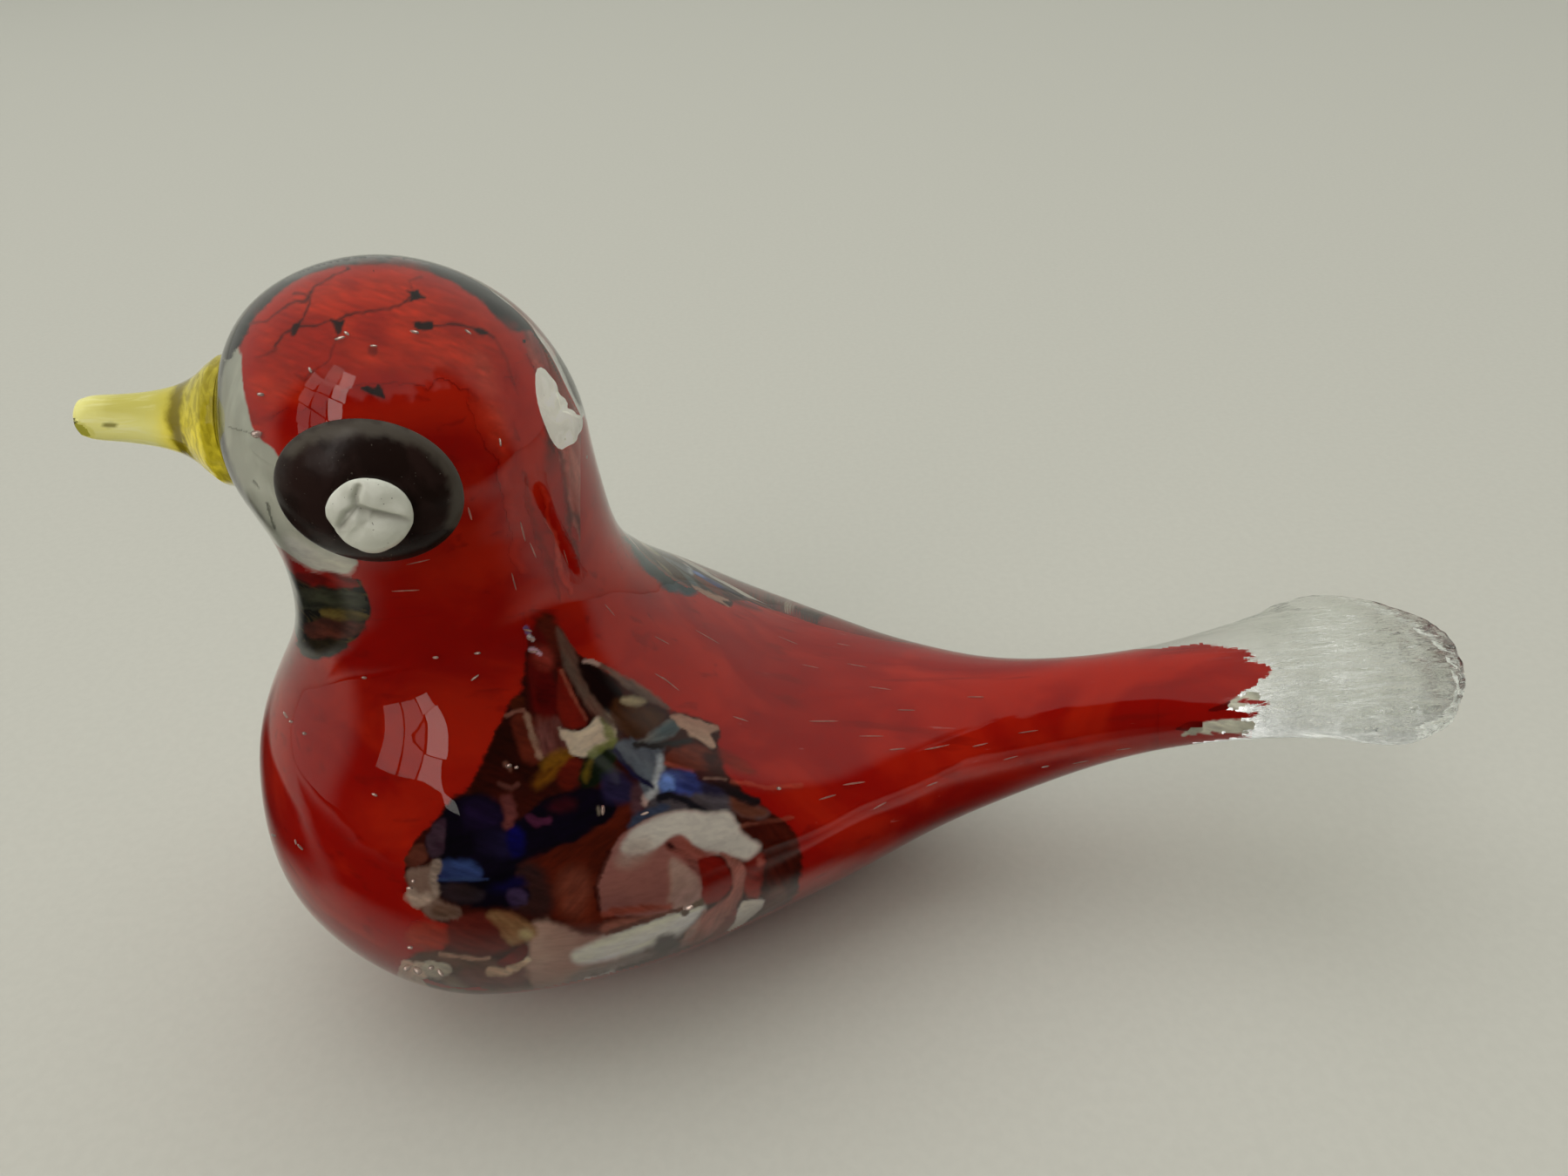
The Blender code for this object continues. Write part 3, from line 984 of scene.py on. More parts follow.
@dataclass
class Coat:
    """The opaque coloured coat, deep in the clear glass."""

    name: str = "red_coat"
    crown: tuple[float, float, float] = (-37.0, 0.3, 67.0)
    rings: tuple[Ring, ...] = (
        Ring((-31.4, 65.2), (-42.8, 65.9), 5.8, 0.2),
        Ring((-28.2, 61.8), (-46.1, 62.8), 9.2, 0.1),
        Ring((-26.8, 57.2), (-47.8, 57.6), 10.8),
        Ring((-26.4, 51.8), (-47.5, 50.2), 10.6),
        Ring((-24.9, 44.6), (-46.0, 40.6), 10.8),
        Ring((-20.6, 36.6), (-50.5, 30.2), 14.9),
        Ring((-15.3, 31.0), (-52.0, 16.9), 19.8),
        Ring((-8.6, 26.5), (-44.7, 5.2), 21.2),
        Ring((0.0, 24.0), (-27.6, 1.7), 17.4),
        Ring((9.6, 23.2), (-4.5, 4.2), 12.2),
        Ring((20.9, 23.7), (15.4, 10.4), 6.5),
        Ring((27.6, 24.6), (24.6, 14.8), 4.8),
        Ring((34.2, 25.3), (33.2, 17.2), 4.5, -0.3),
        Ring((39.0, 25.5), (38.4, 19.2), 4.2, -0.7),
        Ring((42.4, 25.5), (42.0, 21.4), 3.1, -1.0),
    )
    tip: tuple[float, float, float] = (44.0, -1.0, 24.0)
    sides: int = 32
    levels: int = 3
    # The line on the crown where the red ends against a painted shade of dark grey, a pixel inside it, and in
    # mm how wide that painted shade is and how low it reaches
    crown_edge: tuple[Point, ...] = (
        (300, 356), (341, 325), (400, 305), (462, 306), (521, 326), (563, 358), (590, 386),
    )
    crown_middle: Point = (450, 420)
    rim_shade_width: float = 8.0
    rim_shade_foot: float = 52.0

    def build(self) -> bpy.types.Object:
        """Builds the coat ring by ring, from the crown to the end of the red in the tail."""
        deselect()
        bpy.ops.mesh.primitive_circle_add(vertices=self.sides, radius=START_SIZE, fill_type="NOTHING")
        coat = named(self.name)
        edit_all(coat)
        for _ in self.rings[1:]:
            bpy.ops.mesh.extrude_region_move(TRANSFORM_OT_translate={"value": (0, 0, START_SIZE)})
        close_edit()
        for index, vertex in enumerate(coat.data.vertices):
            ring, side = self.rings[index // self.sides], index % self.sides
            vertex.co = self.ring_point(ring, math.tau * side / self.sides)
        self.cap(coat, 0, self.crown)
        self.cap(coat, len(self.rings) - 1, self.tip)
        face_out(coat)
        smooth(coat, self.levels)
        shade(coat)
        return coat

    def ring_point(self, ring: Ring, turn: float) -> Vector:
        """A point of a ring. A turn of 0 is its front."""
        (back_x, back_z), (front_x, front_z) = ring.back, ring.front
        ahead = math.cos(turn)
        return MM * Vector((
            (back_x + front_x) / 2 + (front_x - back_x) / 2 * ahead,
            ring.shift + ring.half_width * math.sin(turn),
            (back_z + front_z) / 2 + (front_z - back_z) / 2 * ahead,
        ))

    def cap(self, coat: bpy.types.Object, ring: int, pole: tuple[float, float, float]) -> None:
        """Closes one end with a fan of faces round a pole.

        Args:
            coat: The coat.
            ring: The ring at that end.
            pole: The pole's place in mm.
        """
        choose_corners(coat, np.arange(len(coat.data.vertices)) // self.sides == ring)
        bpy.ops.mesh.extrude_region_move(TRANSFORM_OT_translate={"value": (0, 0, 0)})
        bpy.ops.mesh.merge(type="CENTER")
        close_edit()
        for vertex in coat.data.vertices:
            if vertex.select:
                vertex.co = MM * Vector(pole)

    def rim_shade(self, places: np.ndarray, sight: Sight) -> np.ndarray:
        """The share of painted shade at each place, dark grey on the crown's far side where the red ends."""
        line = np.array([sight.nearest(x, y, self.crown_middle) for x, y in self.crown_edge])
        middle = line.mean(axis=0)
        across = np.linalg.svd(line - middle)[2][2]
        past = (places - middle) @ across * math.copysign(1, across[1]) / MM
        share = np.clip((past - 0.5) / 0.5, 0, 1) * np.clip((self.rim_shade_width - past) / 2, 0, 1)
        return share * np.clip((places[:, 2] / MM - self.rim_shade_foot) / 3, 0, 1)

    def dress(self, coat: bpy.types.Object, marks: "Marks", finish: bpy.types.Material) -> None:
        """Lays the marks and the painted shade of the crown's rim on the coat and gives it its finish."""
        places = corners_of(coat)
        paint(coat, "marks", marks.at(places))
        # Painted shade: dark grey laid over the crown's far side, where the clear rim looks dark
        rim_shade_tint = np.tile((*linear("1c1918", PHOTO_GAIN, PHOTO_CONTRAST), 0.0), (len(places), 1))
        rim_shade_tint[:, 3] = self.rim_shade(places, marks.sight)
        paint(coat, "tint", rim_shade_tint)
        coat.data.materials.append(finish)
        keep(coat, "glass_body")


def tail_guide() -> Coat:
    """The coat with a longer end, which only guides the ragged red glass in the tail."""
    longer = (
        Ring((40.6, 25.7), (40.0, 19.0), 4.7, -0.8),
        Ring((47.0, 26.0), (46.6, 21.0), 5.4, -0.6),
        Ring((54.0, 26.4), (53.8, 22.6), 6.0, -0.4),
    )
    return Coat(name="tail_guide", rings=Coat.rings[:-2] + longer, tip=(57.0, -0.4, 24.8))


@dataclass
class Marks:
    """The white of the face and the olive of the throat, which go right round the front."""

    sight: Sight
    face_edge: tuple[Point, ...] = (
        (272, 396), (278, 408), (278, 433), (282, 464), (289, 486), (300, 505), (313, 514), (320, 524),
        (345, 560), (375, 600), (408, 636), (412, 646), (400, 659), (379, 657), (358, 651), (341, 643),
        (324, 630),
    )
    throat_edge: tuple[Point, ...] = (
        (340, 662), (380, 668), (413, 664), (418, 680), (425, 701), (411, 731), (394, 745), (356, 755),
        (346, 745),
    )
    middle: Point = (470, 560)
    outlines: list[np.ndarray] = field(default_factory=list)

    def __post_init__(self) -> None:
        """Finds both outlines on the coat, seen square from the side."""
        for edge in (self.face_edge, self.throat_edge):
            found = [self.sight.nearest(x, y, self.middle) for x, y in edge]
            flat = [(point.x, point.z) for point in found]
            ahead = -0.065
            flat = [(ahead, flat[0][1])] + flat + [(ahead, flat[-1][1])]
            self.outlines.append(np.array(flat))

    def at(self, places: np.ndarray) -> np.ndarray:
        """The distances in mm into each mark, negative inside, one row for each place."""
        flat = places[:, [0, 2]]
        rows = np.ones((len(places), 4))
        for index, outline in enumerate(self.outlines):
            rows[:, index] = signed_distance(flat, outline) / MM
        return rows


# The coloured glass on the coat


@dataclass(frozen=True)
class Stroke:
    """One colour of glass, as it shows in the photograph. A few strokes are painted shade, painted highlights
    and painted reflection haze.

    Its outline is closed, or with a width it is an open line.
    """

    outline: tuple[Point, ...]
    near: str
    far: str = ""
    soft: float = 5.0
    wander: float = 5.0
    width: float = 0.0
    cover: float = 1.0
    grain: float = 34.0
    pull: float = 3.0
    lean: float = 20.0  # degrees that the streaks run down to the right
    mottle: float = 0.3
    feather: float = 1.8  # how far its edge is drawn out along the streaks
    rounding: int = 2
    blend: Blend = Blend.COVER


@dataclass
class Canvas:
    """The places in the photograph that a sheet of coloured glass is laid on."""

    points: np.ndarray
    colour: np.ndarray = field(init=False)
    cover: np.ndarray = field(init=False)
    glass: np.ndarray = field(init=False)

    def __post_init__(self) -> None:
        """Starts with no cover and no glass anywhere, over the coat's red."""
        self.colour = np.tile(CoatGlass.deep, (len(self.points), 1))
        self.cover = np.zeros(len(self.points))
        self.glass = np.zeros(len(self.points))

    def lay(self, stroke: Stroke, seed: int) -> None:
        """Lays one stroke over what is there.

        Args:
            stroke: The stroke.
            seed: What its noise is drawn from.
        """
        drift, points = Drift(seed), self.points
        away = points / 22.0
        moved = points + stroke.wander * np.stack(
            [drift.layered(away[:, 0], away[:, 1]), drift.layered(away[:, 1] + 31, away[:, 0] + 7)], axis=1
        )
        lean = math.radians(stroke.lean)
        along = points[:, 0] * math.cos(lean) + points[:, 1] * math.sin(lean)
        across = points[:, 1] * math.cos(lean) - points[:, 0] * math.sin(lean)
        fine = drift.layered(along / 19 + 57, across / 3.4 + 23)
        outline = np.array(stroke.outline, float)
        feather = stroke.feather
        if stroke.width:
            distance = line_distance(moved, outline) - stroke.width / 2
            feather = min(feather, 0.25 * stroke.width)
        else:
            distance = signed_distance(moved, rounded(outline, stroke.rounding))
        distance = distance + feather * (fine + 0.6 * drift.at(points[:, 0] / 6 + 3, points[:, 1] / 6 + 11))
        share = np.clip(0.5 - distance / (2 * stroke.soft), 0, 1)
        share = eased(share) * stroke.cover
        self.glass = np.maximum(self.glass, share)
        if stroke.blend is Blend.BARE:
            self.cover *= 1 - share
            return
        streak = drift.layered(along / (stroke.grain * stroke.pull) + 3, across / stroke.grain + 9)
        streak = np.clip(0.5 + 1.1 * streak, 0, 1)[:, None]
        near = np.array(linear(stroke.near, PHOTO_GAIN, PHOTO_CONTRAST))
        far = np.array(linear(stroke.far or stroke.near, PHOTO_GAIN, PHOTO_CONTRAST))
        laid = (near + (far - near) * streak) * np.clip(1 + stroke.mottle * fine[:, None], 0.2, 2)
        total = share + self.cover * (1 - share)
        weight = np.where(total > 1e-6, share / np.maximum(total, 1e-6), 0)[:, None]
        self.colour = laid * weight + self.colour * (1 - weight)
        self.cover = total

    def rows(self) -> np.ndarray:
        """The colours with their cover as the fourth number."""
        return np.concatenate([self.colour, self.cover[:, None]], axis=1)


WING_BOX = ((452, 700), (930, 1152))  # the two far corners of the photograph's part with the wing
WING_CORNER = (440, 720)
WING_ZOOM = 3
WING_MELT = 1.4  # how much softer the chips' edges are than they were read


def wing(
    outline: tuple[Point, ...], near: str, far: str = "", soft: float = 6, wander: float = 8, **more: object
) -> Stroke:
    """A stroke of the wing, read on a threefold enlargement of the photograph's corner WING_CORNER."""
    placed = tuple((WING_CORNER[0] + x / WING_ZOOM, WING_CORNER[1] + y / WING_ZOOM) for x, y in outline)
    return Stroke(placed, near, far, soft * WING_MELT / WING_ZOOM, wander / WING_ZOOM, **more)


WING_STROKES = (
    # The strand's start, high in the red
    wing(((548, -70), (556, -20), (556, 40)), "5a0c06", "", 18, 6, width=34, cover=0.5),
    # The smoky glass under all the chips
    wing(
        ((504, 20), (490, 80), (484, 160), (480, 236), (436, 246), (426, 292), (385, 365), (345, 460),
         (298, 560), (240, 596), (195, 640), (148, 696), (88, 765), (72, 800), (78, 870), (102, 940),
         (135, 985), (190, 1012), (240, 1016), (228, 1060), (212, 1110), (150, 1116), (80, 1140),
         (60, 1180), (100, 1215), (200, 1250), (330, 1268), (470, 1268), (620, 1245), (760, 1215),
         (900, 1165), (1000, 1120), (1180, 1080), (1300, 1035), (1395, 985), (1432, 900), (1440, 780),
         (1416, 690), (1330, 632), (1250, 590), (1180, 500), (1150, 415), (1168, 347), (1050, 300),
         (990, 293), (930, 240), (800, 165), (700, 105), (650, 75), (606, 14), (570, -14), (536, -10)),
        "300f06", "2a0d06", 6, 9, feather=2.0,
    ),
    # Wine-red and rosy glass along the bottom
    wing(
        ((215, 1000), (330, 975), (420, 1000), (500, 1050), (480, 1090), (400, 1130), (250, 1120),
         (205, 1080)),
        "52221d", "4b1e18", 10,
    ),
    wing(
        ((520, 1000), (620, 1015), (700, 1060), (800, 1050), (860, 1090), (800, 1180), (700, 1225),
         (600, 1246), (500, 1248), (470, 1200), (500, 1150), (500, 1080)),
        "7c685e", "6c5048", 14, lean=-15, mottle=0.05,
    ),
    # Amber-brown pool in the middle, and the smoke at its front edge
    wing(
        ((480, 810), (560, 768), (650, 738), (720, 700), (790, 640), (850, 590), (900, 600), (850, 690),
         (800, 760), (760, 850), (742, 930), (770, 985), (860, 985), (970, 960), (990, 985), (900, 1022),
         (800, 1052), (700, 1062), (630, 1030), (560, 985), (500, 930), (455, 870)),
        "43180a", "3c1406", 12, 6, lean=-35,
    ),
    wing(
        ((600, 850), (680, 820), (720, 900), (730, 980), (700, 1030), (640, 1000), (580, 940)),
        "522010", "583024", 26, lean=-50,
    ),
    wing(((760, 1010), (880, 1000), (960, 985), (900, 1015), (800, 1045), (740, 1050)), "6a4237", "", 10),
    wing(
        ((430, 830), (500, 800), (550, 830), (580, 900), (600, 960), (560, 1000), (480, 985), (400, 965)),
        "2c1a18", "221619", 20,
    ),
    # Dark lobe at the front edge, with its pale rim
    wing(
        ((436, 300), (402, 330), (372, 400), (340, 466), (296, 562), (330, 596), (420, 560), (500, 545),
         (560, 500), (540, 440), (505, 400), (490, 330), (470, 300)),
        "240a02", "2c0c04", 8, 5,
    ),
    wing(((436, 250), (470, 238), (488, 252), (484, 284), (440, 296)), "45210c", "3a1606", 5, 5),
    wing(((478, 330), (500, 370), (512, 430)), "4c2014", "", 8, 4, width=26),
    wing(((424, 304), (450, 294), (482, 286)), "64443a", "", 3, 3, width=5),
    wing(
        ((478, 288), (500, 288), (514, 335), (530, 395), (556, 440), (530, 462), (512, 420), (500, 350)),
        "705a4c", "664c40", 5, 4,
    ),
    # Mauve glass under the pulled strand, and the strand itself
    wing(
        ((512, 296), (560, 285), (606, 310), (625, 350), (645, 400), (620, 432), (570, 450), (548, 440),
         (532, 395)),
        "48251e", "543430", 8, 6, lean=78, grain=10,
    ),
    wing(
        ((516, -14), (560, -24), (592, 10), (602, 90), (600, 200), (606, 290), (580, 318), (530, 306),
         (500, 270), (492, 160), (498, 50)),
        "4c0d07", "3c0603", 12, 5, lean=80, grain=12, pull=6,
    ),
    wing(((556, -16), (578, 10), (592, 50), (600, 130), (616, 180)), "451a0e", "341008", 10, 5, width=20),
    wing(((510, 70), (560, 60), (588, 110), (576, 150), (520, 140)), "74332a", "5c1d14", 14, 6),
    wing(((520, 170), (575, 170), (598, 240), (580, 300), (520, 290)), "400503", "", 14, 6),
    # Painted glints: three small highlights on the strand
    wing(((490, 2), (498, 18)), "5a4a68", "", 3, 2, width=5, mottle=0.0),
    wing(((502, 34), (514, 42)), "b8a49c", "", 2, 2, width=5, mottle=0.0),
    wing(((507, 78), (524, 83), (538, 92)), "9c828c", "", 3, 2, width=5, mottle=0.0),
    # Tongue of clearer red, and its bright edge
    wing(
        ((602, 128), (614, 150), (642, 210), (676, 268), (704, 318), (690, 346), (655, 358), (618, 346),
         (602, 310), (596, 240)),
        "60190e", "50140c", 5, 4, lean=60, mottle=0.1,
    ),
    wing(((610, 150), (634, 200), (664, 262), (696, 316)), "80503f", "6a382c", 3, 3, width=4, cover=0.8),
    # Amber streak beside the rust one
    wing(
        ((505, 545), (530, 500), (575, 452), (620, 432), (656, 440), (640, 470), (600, 500), (560, 535),
         (520, 565)),
        "5c3c0c", "4c2e08", 13, 6, lean=-40, grain=12,
    ),
    wing(((560, 470), (600, 446), (632, 440)), "6c4e16", "", 8, 4, width=14, cover=0.55),
    wing(
        ((612, 470), (655, 446), (684, 462), (690, 510), (664, 556), (612, 562), (590, 520)),
        "4e180d", "3c1006", 10, 6,
    ),
    # White wedge, greenish at its end
    wing(
        ((602, 344), (625, 352), (660, 360), (694, 350), (716, 322), (742, 298), (772, 300), (800, 345),
         (800, 386), (770, 408), (724, 436), (682, 452), (646, 430), (618, 386)),
        "978d7d", "867a6c", 5, 4, lean=-30, mottle=0.15,
    ),
    wing(((742, 300), (770, 302), (798, 350), (800, 388), (776, 396), (756, 376)), "6e6c48", "5c5c3e", 8, 5),
    # Navy slab with its purple, blue, steel and olive glass
    wing(
        ((240, 598), (300, 572), (360, 580), (410, 600), (440, 660), (470, 664), (520, 610), (580, 570),
         (640, 566), (700, 540), (750, 548), (790, 590), (800, 640), (770, 672), (720, 700), (650, 738),
         (560, 768), (490, 800), (450, 830), (460, 880), (510, 910), (505, 950), (440, 965), (300, 962),
         (230, 952), (190, 925), (175, 880), (185, 805), (148, 792), (146, 716), (196, 645)),
        "0b0414", "07020c", 7, 7, lean=-25,
    ),
    wing(((270, 596), (350, 580), (410, 620), (405, 690), (340, 720), (270, 690)), "1a0f28", "140a1e", 18, 8),
    wing(((320, 700), (400, 690), (470, 720), (460, 780), (390, 800), (310, 760)), "1c1730", "110a1c", 14, 8),
    wing(((430, 690), (466, 684), (492, 720), (488, 786), (446, 800), (424, 750)), "0c0a44", "080628", 10, 5),
    wing(((580, 590), (660, 580), (670, 620), (600, 640), (560, 620)), "2c0a12", "1a0508", 14, 6),
    wing(((505, 656), (530, 670), (566, 664)), "3e1c30", "", 5, 4, width=9),
    wing(((430, 870), (480, 850), (500, 890), (460, 900), (380, 920), (340, 900)), "0e0a2c", "0c0818", 14, 6),
    wing(
        ((184, 806), (235, 794), (305, 802), (346, 838), (336, 868), (250, 870), (174, 870)),
        "2c3a5c", "222844", 9, 5, grain=20,
    ),
    wing(((176, 869), (260, 866), (362, 866)), "2e3c5a", "", 3, 3, width=4, cover=0.7),
    wing(
        ((178, 884), (270, 880), (345, 894), (360, 936), (280, 956), (215, 944), (186, 915)),
        "291c18", "221b20", 9, 6,
    ),
    wing(((424, 905), (462, 888), (496, 908), (502, 946), (462, 962), (430, 946)), "3f3646", "2e2238", 7, 5),
    wing(
        ((396, 592), (428, 570), (452, 592), (458, 645), (446, 690), (420, 702), (410, 680), (420, 640)),
        "603634", "4c2a28", 8, 5,
    ),
    wing(((424, 470), (440, 488)), "6a4a3e", "", 4, 3, width=6, cover=0.7),
    wing(((398, 540), (440, 552), (462, 540)), "50322c", "", 5, 4, width=6, cover=0.7),
    # A painted glint
    wing(((738, 622), (742, 644)), "6c6458", "", 3, 2, width=3, mottle=0.0, cover=0.7),
    # Plum chip at the front, the clay chip and the ash-white one
    wing(
        ((146, 716), (168, 676), (204, 650), (220, 664), (208, 724), (206, 786), (150, 790)),
        "382a32", "30202a", 6, 5, grain=9,
    ),
    wing(
        ((74, 800), (86, 768), (118, 744), (142, 734), (146, 768), (158, 796), (124, 822), (86, 822)),
        "4c2a1e", "482820", 5, 4,
    ),
    wing(
        ((74, 832), (130, 824), (184, 800), (188, 828), (176, 870), (182, 918), (204, 950), (256, 960),
         (272, 990), (240, 1010), (186, 1010), (146, 988), (112, 946), (86, 890)),
        "66554c", "5a4a42", 8, 5, lean=70, mottle=0.1,
    ),
    wing(((96, 920), (116, 940), (150, 930)), "7c6e64", "", 8, 5, width=14),
    wing(((186, 806), (172, 858), (180, 915)), "6e6259", "", 6, 4, width=9),
    wing(((176, 945), (230, 958), (268, 985), (220, 1002), (160, 985)), "584238", "4c3c32", 9, 5),
    # Green chip, yellow where it meets the rust
    wing(
        ((676, 490), (702, 448), (756, 412), (796, 404), (806, 440), (794, 486), (764, 530), (712, 552),
         (676, 548)),
        "121c08", "0c1408", 7, 5, lean=-40,
    ),
    wing(((680, 520), (690, 474), (722, 442), (716, 490), (700, 540)), "5a4a18", "464014", 9, 5, cover=0.6),
    wing(((716, 436), (752, 410), (790, 396)), "5a5e34", "", 6, 4, width=10, cover=0.8),
    # Indigo chip and the mauve one beside it
    wing(
        ((744, 512), (800, 490), (846, 520), (880, 570), (860, 606), (800, 612), (756, 592)),
        "1e1a36", "221d33", 14, 6,
    ),
    wing(((850, 545), (885, 530), (905, 570), (896, 640), (850, 640)), "3e2a2e", "30222c", 10, 6),
    wing(((886, 584), (906, 574), (918, 600), (906, 622), (888, 612)), "7a6862", "", 5, 4),
    # Spike with its smoky edges
    wing(
        ((590, -10), (622, 30), (660, 84), (672, 140), (700, 200), (742, 262), (790, 318), (806, 352),
         (776, 332), (736, 312), (704, 284), (662, 212), (628, 150), (606, 90)),
        "553e35", "4c4038", 7, 5, lean=60, grain=9,
    ),
    wing(
        ((690, 106), (750, 122), (830, 168), (900, 205), (960, 250), (992, 292), (950, 268), (860, 226),
         (770, 160)),
        "5c4a40", "50413a", 7, 5, lean=35, grain=9,
    ),
    wing(
        ((664, 124), (700, 116), (740, 136), (790, 186), (836, 236), (806, 300), (784, 306), (740, 262),
         (702, 206), (680, 160)),
        "100202", "170503", 7, 5, lean=50,
    ),
    wing(
        ((790, 236), (830, 246), (880, 270), (940, 278), (966, 300), (946, 342), (906, 376), (872, 388),
         (826, 370), (790, 318), (776, 286)),
        "2c1304", "3a2310", 9, 6, lean=40,
    ),
    wing(((812, 246), (850, 234), (890, 244), (904, 258), (876, 270), (836, 268)), "7c745e", "5c5440", 8, 5),
    wing(((692, 118), (716, 116), (736, 126)), "7c6c64", "", 4, 3, width=7),
    # Misty chip, its bright edge, and the dark threads across it
    wing(
        ((800, 398), (840, 384), (900, 392), (964, 404), (966, 450), (960, 510), (942, 570), (904, 596),
         (884, 548), (862, 500), (828, 462), (798, 430)),
        "4e545a", "42464c", 7, 5, lean=60, mottle=0.15,
    ),
    wing(
        ((870, 398), (900, 380), (950, 346), (990, 308), (1034, 340), (1000, 378), (950, 402)),
        "5e564e", "3c4648", 7, 5, lean=-25,
    ),
    wing(
        ((946, 432), (964, 440), (962, 505), (950, 562), (922, 594), (902, 588), (918, 548), (936, 500)),
        "7e8080", "6c7276", 9, 4,
    ),
    wing(((868, 404), (930, 408), (1000, 404), (1056, 392)), "201c1c", "", 5, 4, width=8),
    wing(((796, 428), (826, 470), (868, 512), (924, 552)), "1a1830", "", 4, 3, width=5),
    # White chip with its two horns
    wing(
        ((984, 302), (1012, 296), (1058, 306), (1104, 330), (1168, 346), (1124, 358), (1122, 378),
         (1148, 416), (1116, 418), (1088, 388), (1040, 358), (1000, 334)),
        "806e60", "745a4e", 4, 4, lean=30, mottle=0.15,
    ),
    # Rust chip and the dark threads behind it
    wing(
        ((1150, 412), (1210, 436), (1290, 490), (1266, 512), (1180, 486), (1140, 450)),
        "4c1208", "64200f", 10, 6, cover=0.8,
    ),
    wing(
        ((966, 440), (1004, 412), (1066, 402), (1112, 414), (1156, 450), (1140, 486), (1090, 506),
         (1036, 496), (980, 482)),
        "5c2c1e", "502416", 6, 5,
    ),
    wing(((1090, 440), (1150, 432), (1166, 478), (1120, 500)), "301410", "", 12, 6),
    wing(((972, 470), (1010, 480), (1062, 496)), "74392c", "", 4, 3, width=4, cover=0.7),
    # Blue chip that turns to slate, then to clay
    wing(
        ((902, 636), (920, 596), (956, 574), (1060, 572), (1140, 548), (1200, 560), (1262, 598),
         (1336, 628), (1310, 664), (1240, 652), (1196, 632), (1110, 628), (1000, 632), (900, 660)),
        "403c40", "3a3436", 8, 6, lean=15, grain=14,
    ),
    wing(
        ((950, 500), (1000, 494), (1060, 500), (1110, 520), (1130, 552), (1080, 576), (1000, 582),
         (946, 572)),
        "34406c", "2a3056", 9, 5,
    ),
    wing(((956, 506), (990, 504), (1008, 540), (990, 572), (950, 566)), "50648c", "46587c", 9, 4),
    wing(((1096, 520), (1150, 528), (1210, 572), (1150, 580), (1090, 566)), "221f34", "26222c", 12, 6),
    wing(((1190, 570), (1262, 598), (1336, 628), (1300, 664), (1200, 640)), "5c3c30", "523226", 12, 6),
    wing(
        ((836, 690), (866, 646), (912, 616), (1000, 606), (960, 642), (896, 662), (852, 700)),
        "2e3442", "28303c", 7, 5,
    ),
    wing(((950, 590), (990, 580), (1040, 598), (1100, 632)), "18161c", "", 5, 4, width=8),
    wing(((1096, 514), (1150, 534), (1210, 570), (1280, 600)), "1a1416", "3a1410", 6, 5, width=11),
    wing(((1104, 522), (1180, 522)), "6c564c", "", 3, 3, width=3, cover=0.6),
    wing(((1200, 530), (1262, 540), (1340, 552), (1440, 545)), "84402f", "", 5, 6, width=5, cover=0.45),
    wing(((1212, 690), (1300, 670), (1408, 656)), "7c4e40", "6a3c30", 4, 5, width=5, cover=0.45),
    # Dark glass behind the hook
    wing(
        ((1238, 700), (1290, 676), (1380, 664), (1424, 720), (1432, 800), (1404, 900), (1392, 964),
         (1320, 1000), (1304, 930), (1312, 850), (1330, 800), (1304, 766), (1262, 736)),
        "3c140a", "340f06", 10, 8, lean=60, grain=16,
    ),
    wing(((1330, 900), (1390, 890), (1386, 964), (1330, 986), (1312, 950)), "4c3026", "44241c", 10, 6),
    wing(
        ((1262, 1026), (1310, 976), (1344, 962), (1392, 962), (1376, 992), (1300, 1034)),
        "3e2a28", "", 7, 4,
    ),
    wing(
        ((1240, 806), (1270, 794), (1304, 766), (1322, 800), (1306, 850), (1306, 932), (1250, 936),
         (1238, 880)),
        "58180f", "6c261c", 7, 5,
    ),
    wing(((1280, 790), (1310, 786), (1318, 820), (1288, 830)), "6c3c34", "", 7, 4),
    # White hook round its rosy heart
    wing(
        ((738, 966), (732, 900), (746, 846), (776, 780), (812, 724), (866, 678), (920, 656), (984, 634),
         (1060, 626), (1112, 640), (1170, 632), (1198, 636), (1216, 672), (1242, 716), (1272, 736),
         (1304, 746), (1298, 766), (1268, 798), (1238, 804), (1196, 786), (1140, 778), (1100, 800),
         (1096, 860), (1102, 940), (1060, 968), (1000, 988), (900, 992), (800, 994), (756, 986)),
        "6c4a44", "644440", 4, 3, lean=-20, feather=0.9, mottle=0.03,
    ),
    wing(
        ((806, 770), (846, 704), (890, 676), (984, 636), (1060, 628), (1112, 641), (1170, 633),
         (1198, 638), (1216, 674), (1242, 718), (1302, 748), (1296, 766), (1266, 797), (1238, 802),
         (1190, 782), (1120, 770), (1066, 756), (1040, 720), (1008, 712), (972, 730), (930, 762), (860, 786)),
        "8e8b84", "83807a", 9, 3, lean=-15, feather=0.9, mottle=0.05,
    ),
    wing(
        ((800, 800), (830, 740), (880, 720), (940, 740), (900, 790), (830, 830)),
        "786c64", "", 24, 5, cover=0.6,
    ),
    wing(
        ((984, 786), (1030, 806), (1072, 846), (1094, 890), (1100, 938), (1060, 968), (1004, 986),
         (976, 950), (992, 900), (984, 840)),
        "827064", "74605a", 10, 4, lean=-40, feather=1.0, mottle=0.15,
    ),
    wing(((738, 966), (732, 900), (746, 846), (776, 780)), "300f08", "", 4, 3, width=6, cover=0.8),
    wing(((760, 986), (820, 972), (900, 968), (985, 962)), "6a3a30", "", 6, 3, width=8),
    wing(
        ((960, 752), (980, 724), (1014, 710), (1044, 722), (1064, 750), (1110, 776), (1120, 800),
         (1104, 880), (1084, 846), (1040, 802), (994, 776)),
        "583a38", "6a3e36", 6, 4, feather=1.0,
    ),
